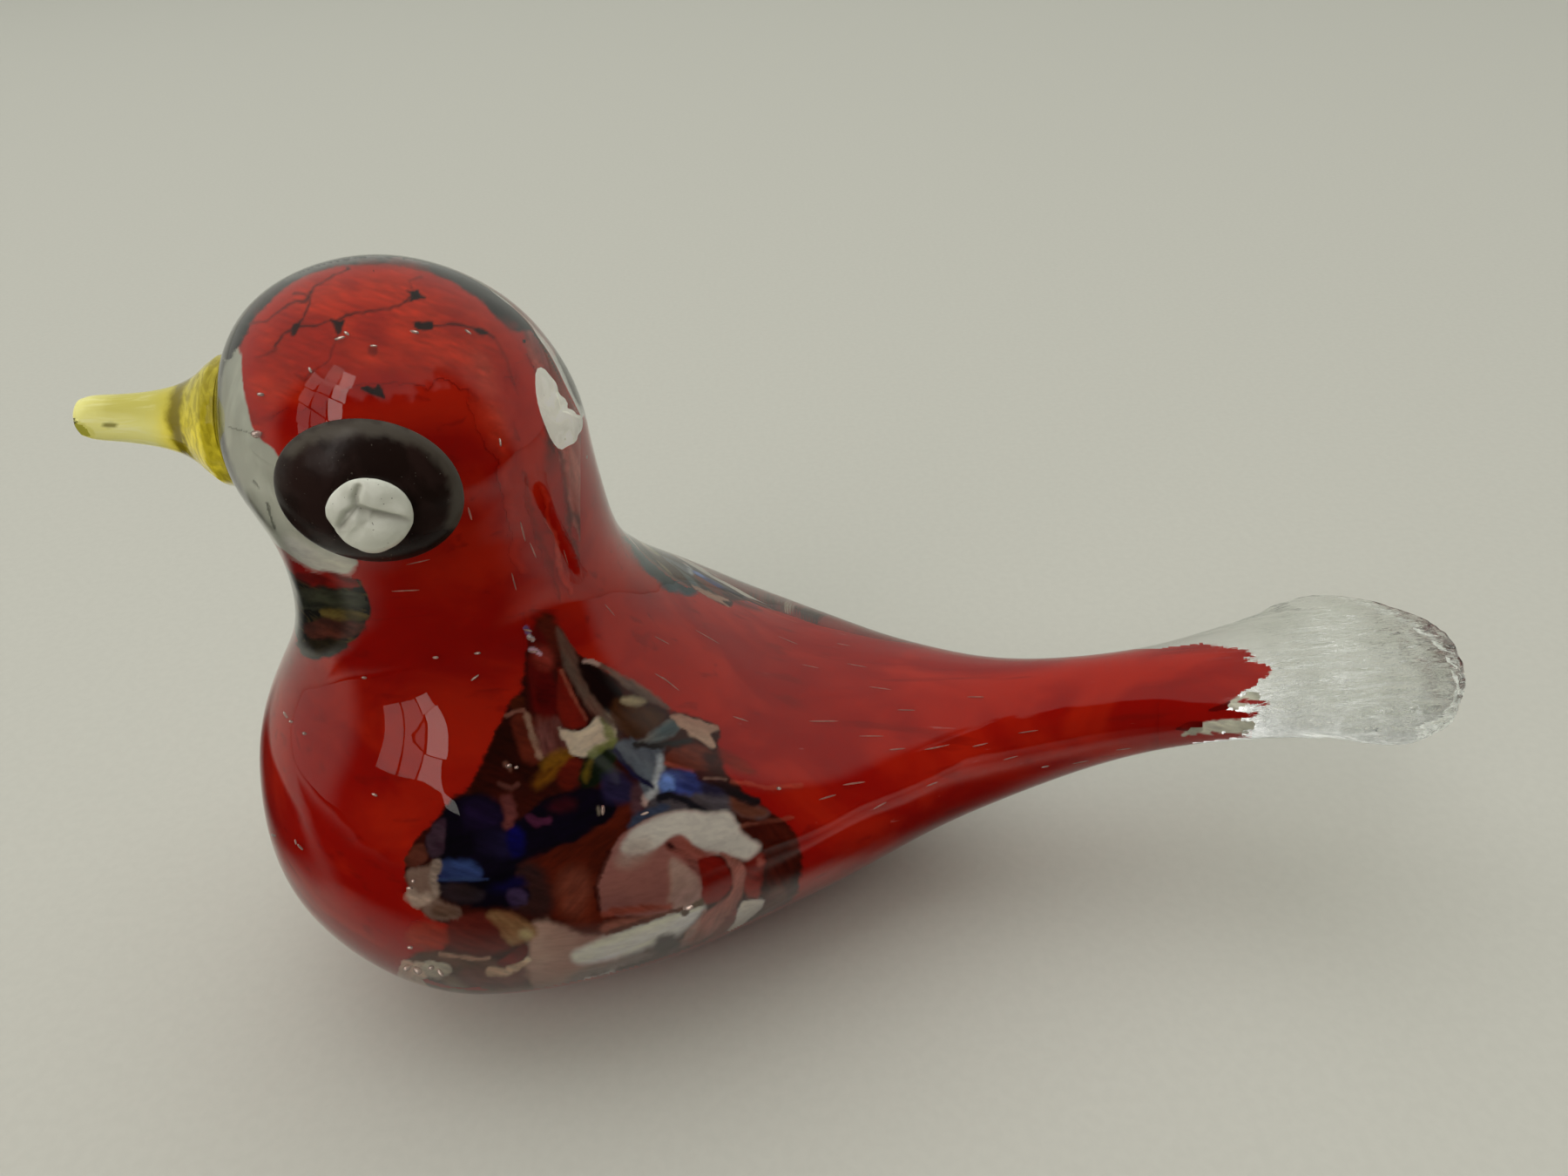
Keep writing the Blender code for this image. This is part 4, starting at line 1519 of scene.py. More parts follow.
    wing(((966, 752), (984, 728), (1000, 748), (990, 770)), "321816", "", 7, 3),
    # Garnet drop, and the milky ring that runs round it
    wing(
        ((1074, 800), (1106, 788), (1144, 786), (1174, 802), (1198, 850), (1202, 892), (1184, 924),
         (1148, 948), (1108, 956), (1096, 930), (1098, 870)),
        "641c12", "5a140c", 4, 3, feather=0.8, mottle=0.1,
    ),
    wing(
        ((1150, 772), (1204, 792), (1244, 812), (1250, 862), (1242, 906), (1216, 962), (1180, 1022),
         (1120, 1064), (1058, 1096), (1036, 1086), (1050, 1040), (1100, 990), (1150, 954), (1188, 926),
         (1205, 890), (1200, 846), (1178, 802)),
        "785048", "6c463e", 5, 4, lean=-60, grain=10, feather=1.0,
    ),
    wing(
        ((1096, 1086), (1150, 1044), (1190, 992), (1216, 956), (1226, 986), (1196, 1040), (1152, 1076)),
        "60322c", "", 5, 3,
    ),
    wing(
        ((1214, 990), (1234, 948), (1260, 936), (1318, 934), (1308, 960), (1272, 994), (1240, 1024),
         (1192, 1062), (1172, 1070), (1194, 1034), (1214, 1008)),
        "a89c90", "9a8e82", 3, 2, feather=0.8, mottle=0.1,
    ),
    # Long ribbon along the bottom, blue-grey below, with the ink spot on it
    wing(
        ((640, 1200), (720, 1170), (820, 1146), (900, 1120), (980, 1096), (1010, 1110), (960, 1146),
         (880, 1176), (780, 1206), (690, 1230), (620, 1242)),
        "6a605c", "5c5450", 12, 5, lean=-20,
    ),
    wing(
        ((640, 1120), (720, 1082), (800, 1054), (880, 1028), (950, 1000), (1030, 976), (1096, 948),
         (1114, 956), (1084, 1004), (1036, 1050), (960, 1084), (880, 1116), (800, 1140), (720, 1158),
         (660, 1160)),
        "b4ac9e", "a0968a", 10, 4, lean=-20, grain=14, pull=6, feather=1.0, mottle=0.1,
    ),
    wing(
        ((1040, 1050), (1084, 1004), (1114, 960), (1090, 1030), (1040, 1096), (1010, 1110)),
        "80685e", "745c54", 7, 4,
    ),
    wing(((770, 1054), (860, 1024), (960, 990), (1030, 968)), "4a2a20", "", 3, 2, width=5),
    wing(((1030, 985), (1060, 962), (1096, 946)), "4c4034", "", 3, 3, width=6),
    wing(((620, 1244), (700, 1222), (790, 1196), (880, 1168), (970, 1130)), "3c3434", "", 5, 4, width=10),
    wing(((700, 1214), (740, 1206), (790, 1192)), "a89e94", "", 3, 2, width=6),
    wing(
        ((928, 1104), (940, 1072), (976, 1052), (1010, 1050), (1002, 1074), (1036, 1088), (1010, 1112),
         (960, 1128), (920, 1128)),
        "383640", "3c3636", 9, 5, lean=-30,
    ),
    # Honey chip and the orange one
    wing(
        ((346, 984), (400, 972), (452, 986), (500, 1016), (536, 1048), (520, 1070), (476, 1084),
         (432, 1092), (414, 1066), (388, 1030)),
        "6e5c42", "62422e", 9, 5, lean=40,
    ),
    wing(((470, 1040), (505, 1042), (520, 1062), (480, 1076)), "807458", "", 10, 4),
    wing(
        ((92, 1022), (150, 1010), (212, 1030), (224, 1064), (210, 1108), (158, 1112), (100, 1106),
         (70, 1070)),
        "74301e", "6a2a1a", 12, 6, cover=0.75,
    ),
    # Olive foam, its bubbles, and the garnet lens with its white rim
    wing(
        ((64, 1150), (140, 1118), (220, 1110), (300, 1130), (400, 1150), (470, 1190), (520, 1230),
         (470, 1266), (330, 1266), (200, 1248), (100, 1214)),
        "4c342a", "3e2a1e", 9, 8, grain=20,
    ),
    wing(((200, 1210), (260, 1216), (300, 1236), (220, 1240)), "64584a", "", 12, 6),
    wing(((300, 1206), (400, 1216), (470, 1206)), "54302a", "", 12, 6, width=24, cover=0.7),
    wing(((76, 1166), (96, 1176)), "948074", "", 4, 3, width=14),
    wing(((118, 1176), (136, 1186)), "8c8074", "", 4, 3, width=18),
    wing(((160, 1172), (186, 1182), (204, 1178)), "98968a", "7c7468", 4, 4, width=20),
    wing(((196, 1122), (250, 1132), (330, 1140), (362, 1136)), "7e6658", "", 3, 3, width=4, cover=0.8),
    wing(
        ((386, 1160), (420, 1132), (466, 1100), (498, 1088), (502, 1112), (482, 1144), (450, 1164),
         (412, 1172)),
        "54140f", "480f08", 4, 3, feather=0.8,
    ),
    wing(((366, 1184), (420, 1188), (464, 1170), (500, 1146)), "a0907e", "84705e", 4, 2, width=8),
)


def crack(*line: Point, width: float = 2.4, cover: float = 0.95) -> Stroke:
    """A thin dark line between two chips of the crown."""
    return Stroke(line, "2c0604", "480d07", 1.7, 4, width, cover)


def fleck(*outline: Point, cover: float = 1.0) -> Stroke:
    """A small dark gap where chips meet."""
    return Stroke(outline, "170403", "2a0906", 1.3, 2.5, cover=cover, feather=0.6, rounding=1)


HEAD_STROKES = (
    # The coat's red seen past its edge at the back of the head, dulled pink by a painted reflection haze
    Stroke(
        ((597, 372), (604, 401), (614, 422), (624, 446), (635, 478), (642, 509), (648, 540), (656, 590),
         (668, 640), (700, 700), (740, 640), (700, 560), (680, 460), (640, 390), (610, 360)),
        "7a4a42", "63251d", 2.5, 4, grain=14, pull=6, lean=72,
    ),
    # Painted shade: dark grey over the far side of the crown, where the clear rim looks dark
    Stroke(
        ((262, 420), (270, 402), (279, 391), (289, 374), (300, 356), (320, 339), (341, 325), (358, 315),
         (379, 309), (400, 305), (435, 304), (462, 306), (497, 314), (521, 326), (542, 341), (563, 358),
         (590, 386), (602, 378), (660, 380), (620, 300), (450, 260), (300, 270), (230, 340), (236, 400)),
        "272423", "1c1918", 1.6, 2, grain=9, pull=9, lean=20, feather=0.8,
    ),
    # Painted shade: a dark brown line along the left of the rim
    Stroke(((230, 420), (250, 380), (275, 350), (310, 325)), "3a1812", "2c120e", 8, 4, 26.0, 0.9),
    # Painted highlight: a grey line along the top of the rim
    Stroke(((330, 318), (380, 299), (440, 294), (490, 300)), "5e5c5a", "4a4846", 4, 2, 9.0, 0.8),
    # Painted light: the white made brightest under the eye, where light from the floor falls on it
    Stroke(
        ((322, 618), (336, 612), (360, 628), (392, 640), (410, 645), (402, 660), (378, 660), (350, 650),
         (330, 636)),
        "a0a292", "94968a", 6, 3, cover=0.85, mottle=0.1,
    ),
    # Painted reflection: a pale pink haze down the nape and the back of the neck
    Stroke(
        ((604, 396), (618, 420), (628, 446), (640, 480), (648, 520), (652, 560)),
        "8b4a40", "74372e", 3, 5, 7.0, 0.7,
    ),
    Stroke(
        ((668, 470), (680, 500), (690, 540), (704, 590), (722, 630)),
        "8e6a62", "7e5048", 5, 5, 12.0, 0.8,
    ),
    # Dark streaks pulled down the neck
    Stroke(
        ((628, 480), (644, 530), (652, 590), (662, 640), (690, 690)),
        "3a0503", "520a05", 2.2, 5, 4.0, 0.8,
    ),
    Stroke(((600, 540), (612, 590), (628, 640), (640, 690)), "520a05", "", 3.0, 6, 4.0, 0.6),
    Stroke(((660, 590), (672, 625), (690, 665)), "3a0503", "", 2.6, 5, 5.0, 0.7),
    Stroke(((560, 470), (580, 540), (590, 600), (598, 660)), "8e2a18", "7a1a0c", 5.0, 8, 9.0, 0.5),
    Stroke(((620, 560), (636, 620), (655, 680)), "9a4032", "8e2a18", 3.0, 6, 5.0, 0.6),
    # Paler chips of the crown
    Stroke(
        ((292, 380), (340, 342), (398, 306), (470, 308), (560, 356), (590, 392), (570, 440), (500, 430),
         (430, 425), (372, 450), (322, 470), (290, 440)),
        "86280f", "701806", 16, 10, cover=0.8, grain=40, pull=1.2,
    ),
    Stroke(((550, 415), (562, 450), (574, 500)), "9c4636", "8c3828", 15, 8, 24.0, 0.45),
    # The cracks between them
    crack((289, 376), (306, 368), (328, 352), (352, 342), (362, 330), (398, 308)),
    crack((352, 342), (340, 338)),
    crack((317, 400), (328, 384), (342, 372), (350, 356), (356, 342)),
    crack((346, 374), (370, 372), (386, 366), (400, 360), (430, 356), (458, 350), (474, 340)),
    crack((388, 380), (384, 398), (378, 414), (362, 424), (350, 434), (340, 432), cover=0.6),
    crack((317, 400), (306, 410), (296, 412), cover=0.5),
    crack((497, 374), (520, 372), (540, 374), (556, 382), (566, 388)),
    crack((474, 336), (470, 326), (484, 318), cover=0.5),
    crack((566, 388), (580, 410), (590, 440), cover=0.4),
    # Dark flecks where the cracks meet
    fleck((331, 382), (338, 370), (349, 371), (342, 380), (334, 387)),
    fleck((377, 364), (386, 369), (396, 364), (393, 372), (392, 384), (386, 384), (384, 374)),
    fleck((464, 333), (474, 336), (478, 332), (482, 340), (491, 344), (480, 344), (468, 348), (474, 341)),
    fleck((473, 367), (498, 368), (499, 378), (487, 379), (474, 377)),
    fleck((541, 379), (552, 377), (562, 384), (552, 387)),
    fleck((413, 447), (424, 443), (430, 447), (434, 439), (438, 447), (444, 457), (434, 455), (426, 452)),
    fleck((421, 399), (430, 397), (433, 407), (424, 409), cover=0.5),
    # Grey specks and bubbles on the white of the face
    Stroke(((262, 489), (276, 492), (288, 496)), "56584e", "", 1.4, 3, 2.4, 0.8),
    Stroke(((290, 552), (297, 560)), "56584e", "", 1.6, 3, 3.0, 0.8),
    Stroke(((309, 578), (312, 592), (316, 606)), "3e4038", "", 1.6, 4, 3.4, 0.85),
    # Throat: rosy, then green-grey, gold, brown and olive glass
    Stroke(((330, 655), (400, 660), (420, 678), (345, 674)), "6b1a12", "531008", 3, 4, grain=8),
    Stroke(
        ((330, 672), (418, 679), (427, 700), (345, 704)),
        "23241c", "35362a", 3, 4, grain=7, pull=5, lean=8,
    ),
    Stroke(
        ((362, 704), (384, 699), (424, 704), (420, 713), (380, 716)),
        "544a28", "3c3418", 2.8, 3, grain=5, pull=6,
    ),
    Stroke(((344, 712), (424, 712), (411, 733), (348, 738)), "4c2c22", "36201a", 3, 4, grain=7),
    Stroke(((340, 735), (404, 735), (394, 747), (356, 757), (342, 746)), "1f1a10", "2c2618", 2.4, 4, grain=6),
)

BACK_STROKES = (
    # The far wing's chips, seen along the back
    Stroke(
        ((712, 606), (760, 622), (806, 640), (815, 664), (800, 684), (764, 676), (738, 655), (722, 630)),
        "2f3f44", "1f2c30", 3, 4, grain=10, lean=30,
    ),
    Stroke(((790, 640), (850, 660), (856, 676), (830, 682), (800, 678)), "6a5f34", "3d3a1c", 3, 4, grain=7),
    Stroke(
        ((800, 646), (880, 676), (965, 704), (970, 716), (900, 704), (840, 690), (806, 676)),
        "3b2230", "52303a", 3, 4, grain=8, lean=18, pull=6,
    ),
    Stroke(
        ((845, 664), (905, 684), (968, 706), (950, 710), (890, 694), (850, 680)),
        "8d8680", "6c625c", 2.5, 3,
    ),
    Stroke(((950, 698), (1045, 728), (1050, 740), (980, 728), (948, 716)), "6e5c58", "583c38", 3, 3, grain=8),
)


def bare(*outline: Point) -> Stroke:
    """A stroke of the coat's own red glass."""
    return Stroke(outline, "741208", soft=0.8, wander=1.6, feather=0.4, rounding=1, blend=Blend.BARE)


TAIL_STROKES = (
    # The pale glass between the fingers
    Stroke(
        ((1404, 812), (1418, 800), (1436, 793), (1448, 795), (1442, 808), (1420, 816)),
        "94968a", "888a7e", 1.2, 1.5,
    ),
    Stroke(
        ((1370, 842), (1382, 827), (1400, 821), (1442, 827), (1442, 838), (1405, 844)),
        "94968a", "888a7e", 1.2, 1.5,
    ),
    # The rounded end of the red, its long finger and the islands it was pulled into
    bare(
        (1325, 738), (1370, 738), (1412, 742), (1432, 747), (1446, 755), (1440, 757), (1426, 755),
        (1442, 760), (1458, 762), (1463, 770), (1457, 776), (1447, 777), (1446, 786), (1436, 792),
        (1412, 804), (1384, 818), (1366, 826), (1352, 838), (1325, 846),
    ),
    bare((1340, 830), (1352, 826), (1390, 816), (1430, 815), (1453, 820), (1430, 825), (1390, 827)),
    bare((1418, 806), (1432, 802), (1446, 804), (1464, 806), (1448, 811), (1430, 811)),
    bare((1385, 838), (1412, 841), (1442, 842), (1440, 846), (1400, 848)),
    bare((1325, 828), (1352, 838), (1376, 840), (1410, 846), (1420, 850), (1360, 866), (1325, 866)),
    Stroke(((1353, 842), (1372, 833), (1384, 834), (1372, 842), (1358, 846)), "84857a", "74766a", 1.0, 1.5),
)


@dataclass
class GlassSheet:
    """A thin sheet of coloured glass laid on the coat, where the photograph shows it."""

    name: str
    corner: Point
    far_corner: Point
    pitch: float
    strokes: tuple[Stroke, ...]
    lift: float = 0.00003
    thickness: float = 0.00004
    seed: int = 1
    edge: float = 0.01  # the share of glass at which the sheet ends
    stretch: float = 14.0  # how many times a cell's usual side may get before the cell goes
    pixel: float = 0.00007  # metres that a pixel spans on the coat

    def build(
        self, sight: Sight, marks: Marks, finish: bpy.types.Material, side: Side = Side.LEFT
    ) -> bpy.types.Object:
        """Lays the sheet.

        Args:
            sight: The way from a pixel to the coat.
            marks: The marks that show where the sheet has no colour.
            finish: The coat's material.
            side: The bird's side. The right side's sheet is the left one's, mirrored.

        Returns:
            The sheet, dressed.
        """
        columns = int((self.far_corner[0] - self.corner[0]) / self.pitch) + 1
        rows = int((self.far_corner[1] - self.corner[1]) / self.pitch) + 1
        deselect()
        bpy.ops.mesh.primitive_grid_add(x_subdivisions=columns, y_subdivisions=rows, size=1.0)
        sheet = named(self.name)
        unit = corners_of(sheet)[:, :2] + 0.5
        span = np.array([columns * self.pitch, rows * self.pitch])
        pixels = np.array(self.corner) + np.stack([unit[:, 0], 1 - unit[:, 1]], axis=1) * span
        places = np.zeros((len(pixels), 3))
        missed = np.zeros(len(pixels), bool)
        for index, (x, y) in enumerate(pixels):
            met = sight.touch(x, y)
            if met is None:
                missed[index] = True
                continue
            places[index] = met[0] + met[1] * self.lift
        if side is Side.RIGHT:
            places[:, 1] *= -1
        set_corners(sheet, places)
        canvas = Canvas(pixels)
        for index, stroke in enumerate(self.strokes):
            canvas.lay(stroke, 100 * self.seed + index)
        paint(sheet, "marks", marks.at(places))
        paint(sheet, "tint", canvas.rows())
        self.trim(sheet, missed | (canvas.glass < self.edge))
        edit_all(sheet)
        if side is Side.RIGHT:
            bpy.ops.mesh.flip_normals()
        close_edit()
        wall = sheet.modifiers.new("thickness", "SOLIDIFY")
        wall.thickness, wall.offset = self.thickness, 1.0
        wall.use_even_offset = False
        apply_modifiers(sheet)
        bpy.ops.object.shade_smooth_by_angle(angle=math.radians(50))
        sheet.data.materials.append(finish)
        keep(sheet, "glass_body")
        return sheet

    def trim(self, sheet: bpy.types.Object, empty: np.ndarray) -> None:
        """Takes out the corners with no coat or no glass, and faces stretched over the coat's edge.

        Args:
            sheet: The sheet.
            empty: Whether each corner has no coat or no glass.
        """
        gone = empty.copy()
        longest = self.stretch * self.pitch * self.pixel
        for edge in sheet.data.edges:
            first, second = (sheet.data.vertices[corner].co for corner in edge.vertices)
            if (first - second).length > longest:
                gone[list(edge.vertices)] = True
        choose_corners(sheet, gone)
        bpy.ops.mesh.delete(type="VERT")
        close_edit()


# Flakes, bubbles and flecks in the clear glass


@dataclass(frozen=True)
class Seed:
    """A bubble or fleck: its pixel, its length and width in mm, its lean and its depth's share."""

    pixel: Point
    length: float
    width: float
    lean: float = 0.0
    depth: float = 0.9


@dataclass
class Seeds:
    """Many small bubbles or flecks as one piece."""

    name: str
    seeds: tuple[Seed, ...]
    finish: SeedGlass

    def build(self, sight: Sight) -> bpy.types.Object:
        """Places each seed and joins them."""
        right, down, ahead = sight.view.axes()
        made = []
        for seed in self.seeds:
            middle = sight.within(*seed.pixel, seed.depth)
            if middle is None:
                continue
            deselect()
            bpy.ops.mesh.primitive_ico_sphere_add(subdivisions=2, radius=1.0)
            bubble = bpy.context.object
            lean = math.radians(seed.lean)
            long = right * math.cos(lean) + down * math.sin(lean)
            wide = down * math.cos(lean) - right * math.sin(lean)
            for vertex in bubble.data.vertices:
                x, y, z = vertex.co
                wobble = 1 + 0.18 * noise.noise(vertex.co * 1.4 + middle * 900)
                offset = long * (x * seed.length) + wide * (y * seed.width) + ahead * (z * seed.width * 0.6)
                vertex.co = middle + offset * (wobble * MM / 2)
            made.append(bubble)
        deselect()
        for bubble in made:
            bubble.select_set(True)
        bpy.context.view_layer.objects.active = made[0]
        bpy.ops.object.join()
        joined = named(self.name)
        face_out(joined)
        shade(joined)
        joined.data.materials.append(self.finish.make())
        keep(joined, "glass_body")
        return joined


SPARKLES = (
    Seed((390, 388), 0.8, 0.3, -20), Seed((398, 382), 0.5, 0.25, 40), Seed((476, 381), 0.7, 0.28, 10),
    Seed((538, 381), 0.6, 0.25, 30), Seed((429, 397), 0.5, 0.2, 0), Seed((356, 425), 0.5, 0.22, 60),
    Seed((299, 453), 0.6, 0.25, 10), Seed((294, 498), 0.9, 0.6, 0), Seed((574, 508), 0.6, 0.2, 80),
    Seed((674, 524), 0.5, 0.3, 0, 0.5), Seed((328, 820), 0.9, 0.35, 40), Seed((334, 828), 0.5, 0.3, 0),
    Seed((349, 842), 0.5, 0.3, 0), Seed((418, 778), 0.5, 0.3, 0), Seed((430, 912), 0.6, 0.25, 20),
    Seed((345, 972), 0.7, 0.25, 45), Seed((313, 960), 0.6, 0.3, 0), Seed((340, 966), 0.5, 0.2, 80),
    Seed((500, 755), 0.5, 0.3, 0), Seed((548, 750), 0.6, 0.3, 0), Seed((545, 778), 0.9, 0.25, -40),
    Seed((470, 1020), 0.6, 0.3, 0), Seed((474, 1012), 0.4, 0.3, 0), Seed((470, 1088), 0.5, 0.3, 0),
    Seed((584, 879), 0.6, 0.4, 0), Seed((593, 881), 0.4, 0.3, 0), Seed((692, 930), 0.4, 0.9, 0),
    Seed((740, 934), 0.8, 0.25, -15), Seed((466, 1112), 0.6, 0.35, 0), Seed((478, 1115), 0.8, 0.4, 30),
    Seed((494, 1112), 0.6, 0.4, 0), Seed((505, 1118), 0.8, 0.35, 50), Seed((690, 1120), 1.6, 0.35, -15, 0.6),
    Seed((790, 1042), 1.0, 0.4, -10), Seed((606, 724), 0.9, 0.25, 20), Seed((610, 734), 0.8, 0.2, 10),
    Seed((612, 748), 0.9, 0.22, 5), Seed((894, 905), 0.5, 0.3, 0), Seed((1200, 880), 0.9, 0.2, -10),
)
# Milky threads; those down the neck, from (600, 610) to (700, 700), and the two flat ones at (480, 645) and
# (466, 678) are painted highlights
DASHES = (
    Seed((760, 735), 2.0, 0.12, 22), Seed((812, 731), 3.0, 0.12, 25), Seed((905, 735), 2.6, 0.12, 20),
    Seed((770, 785), 2.2, 0.14, 38), Seed((760, 778), 1.8, 0.12, 30), Seed((850, 825), 1.8, 0.14, 15),
    Seed((945, 828), 3.2, 0.16, -5), Seed((968, 740), 1.6, 0.12, 12), Seed((984, 764), 2.2, 0.12, 10),
    Seed((930, 765), 2.0, 0.10, 8), Seed((1010, 790), 2.4, 0.12, 6), Seed((1040, 815), 2.0, 0.12, -2),
    Seed((1075, 858), 2.8, 0.14, -14), Seed((1125, 855), 1.8, 0.12, -12), Seed((1180, 840), 2.2, 0.12, -8),
    Seed((1120, 800), 1.8, 0.12, -2), Seed((1030, 860), 1.8, 0.12, -10), Seed((980, 900), 2.4, 0.14, -12),
    Seed((950, 915), 1.8, 0.12, -16), Seed((1010, 925), 1.6, 0.12, -20), Seed((1240, 875), 1.8, 0.14, -10),
    Seed((1290, 860), 1.6, 0.12, -8), Seed((600, 610), 2.4, 0.14, 66), Seed((612, 632), 1.8, 0.12, 60),
    Seed((590, 668), 2.0, 0.12, 70), Seed((650, 640), 1.8, 0.10, 62), Seed((540, 590), 1.2, 0.16, 70),
    Seed((480, 645), 1.8, 0.12, -10), Seed((466, 678), 2.2, 0.14, 0), Seed((700, 700), 1.8, 0.1, 45),
    Seed((1000, 845), 2.6, 0.1, -5), Seed((1070, 900), 1.4, 0.12, -16), Seed((1160, 870), 1.8, 0.12, -12),
)


# The line of light in the fan's rounded edge, and the pixels to a millimetre there
RIM = (
    (1540, 684), (1560, 689), (1582, 696), (1605, 707), (1628, 720), (1648, 736), (1663, 754), (1672, 774),
    (1675, 794), (1670, 811), (1659, 824), (1646, 833), (1630, 840),
)
RIM_SCALE = 11.0


def painted_rim_highlight() -> tuple[Seed, ...]:
    """Pale threads, a painted highlight for the light edge of the fan, end to end along the rim."""
    threads = []
    for index, (start, end) in enumerate(zip(RIM, RIM[1:])):
        run = math.hypot(end[0] - start[0], end[1] - start[1]) / RIM_SCALE
        lean = math.degrees(math.atan2(end[1] - start[1], end[0] - start[0]))
        middle = ((start[0] + end[0]) / 2, (start[1] + end[1]) / 2)
        threads.append(Seed(middle, 1.5 * run, 0.42 + 0.12 * (index % 3), lean, 0.5))
    return tuple(threads)


@dataclass
class NapeFlake:
    """The white chip that floats in the clear glass behind the head."""

    outline: tuple[Point, ...] = (
        (616, 425), (623, 423), (632, 434), (638, 441), (640, 453), (651, 461), (650, 470), (659, 473),
        (662, 478), (669, 479), (668, 492), (663, 497), (661, 506), (651, 510), (643, 515), (634, 505),
        (627, 488), (620, 468), (616, 446),
    )
    pixel: Point = (642, 468)  # where its middle shows
    depth: float = 0.45
    thickness: float = 0.0005
    bevel: float = 0.0004
    rise: float = 0.0003
    # Painted light: the flake glows a little, as if lit inside the glass
    painted_glow: float = 0.20

    def build(self, sight: Sight) -> bpy.types.Object:
        """Builds the flake from its outline, facing the way that it is seen."""
        outline = rounded(np.array(self.outline, float), 1)
        middle = sight.within(*self.pixel, self.depth)
        inside = sight.enter(*self.pixel)[1]
        places = []
        for x, y in outline:
            start, ray = sight.enter(x, y)
            run = (middle - start).dot(inside) / ray.dot(inside)
            places.append(start + ray * run)
        deselect()
        bpy.ops.mesh.primitive_circle_add(vertices=len(places), fill_type="NGON")
        flake = named("nape_flake")
        for vertex, place in zip(flake.data.vertices, places):
            vertex.co = place
        edit_all(flake)
        bpy.ops.mesh.inset(thickness=self.bevel)
        bpy.ops.transform.translate(value=tuple(-inside * self.rise))
        bpy.ops.mesh.poke()
        bpy.ops.mesh.select_all(action="SELECT")
        bpy.ops.mesh.normals_make_consistent(inside=False)
        close_edit()
        wall = flake.modifiers.new("thickness", "SOLIDIFY")
        wall.thickness, wall.offset = self.thickness, 0.0
        apply_modifiers(flake)
        bpy.ops.object.shade_smooth_by_angle(angle=math.radians(40))
        finish = PressedGlass(
            "nape white", (0.95, 0.95, 0.84), (0.80, 0.80, 0.69), (0.6, 0.58, 0.48), 0.5, 420.0, self.painted_glow
        )
        flake.data.materials.append(finish.make())
        keep(flake, "glass_body")
        return flake


# The beak and the eyes


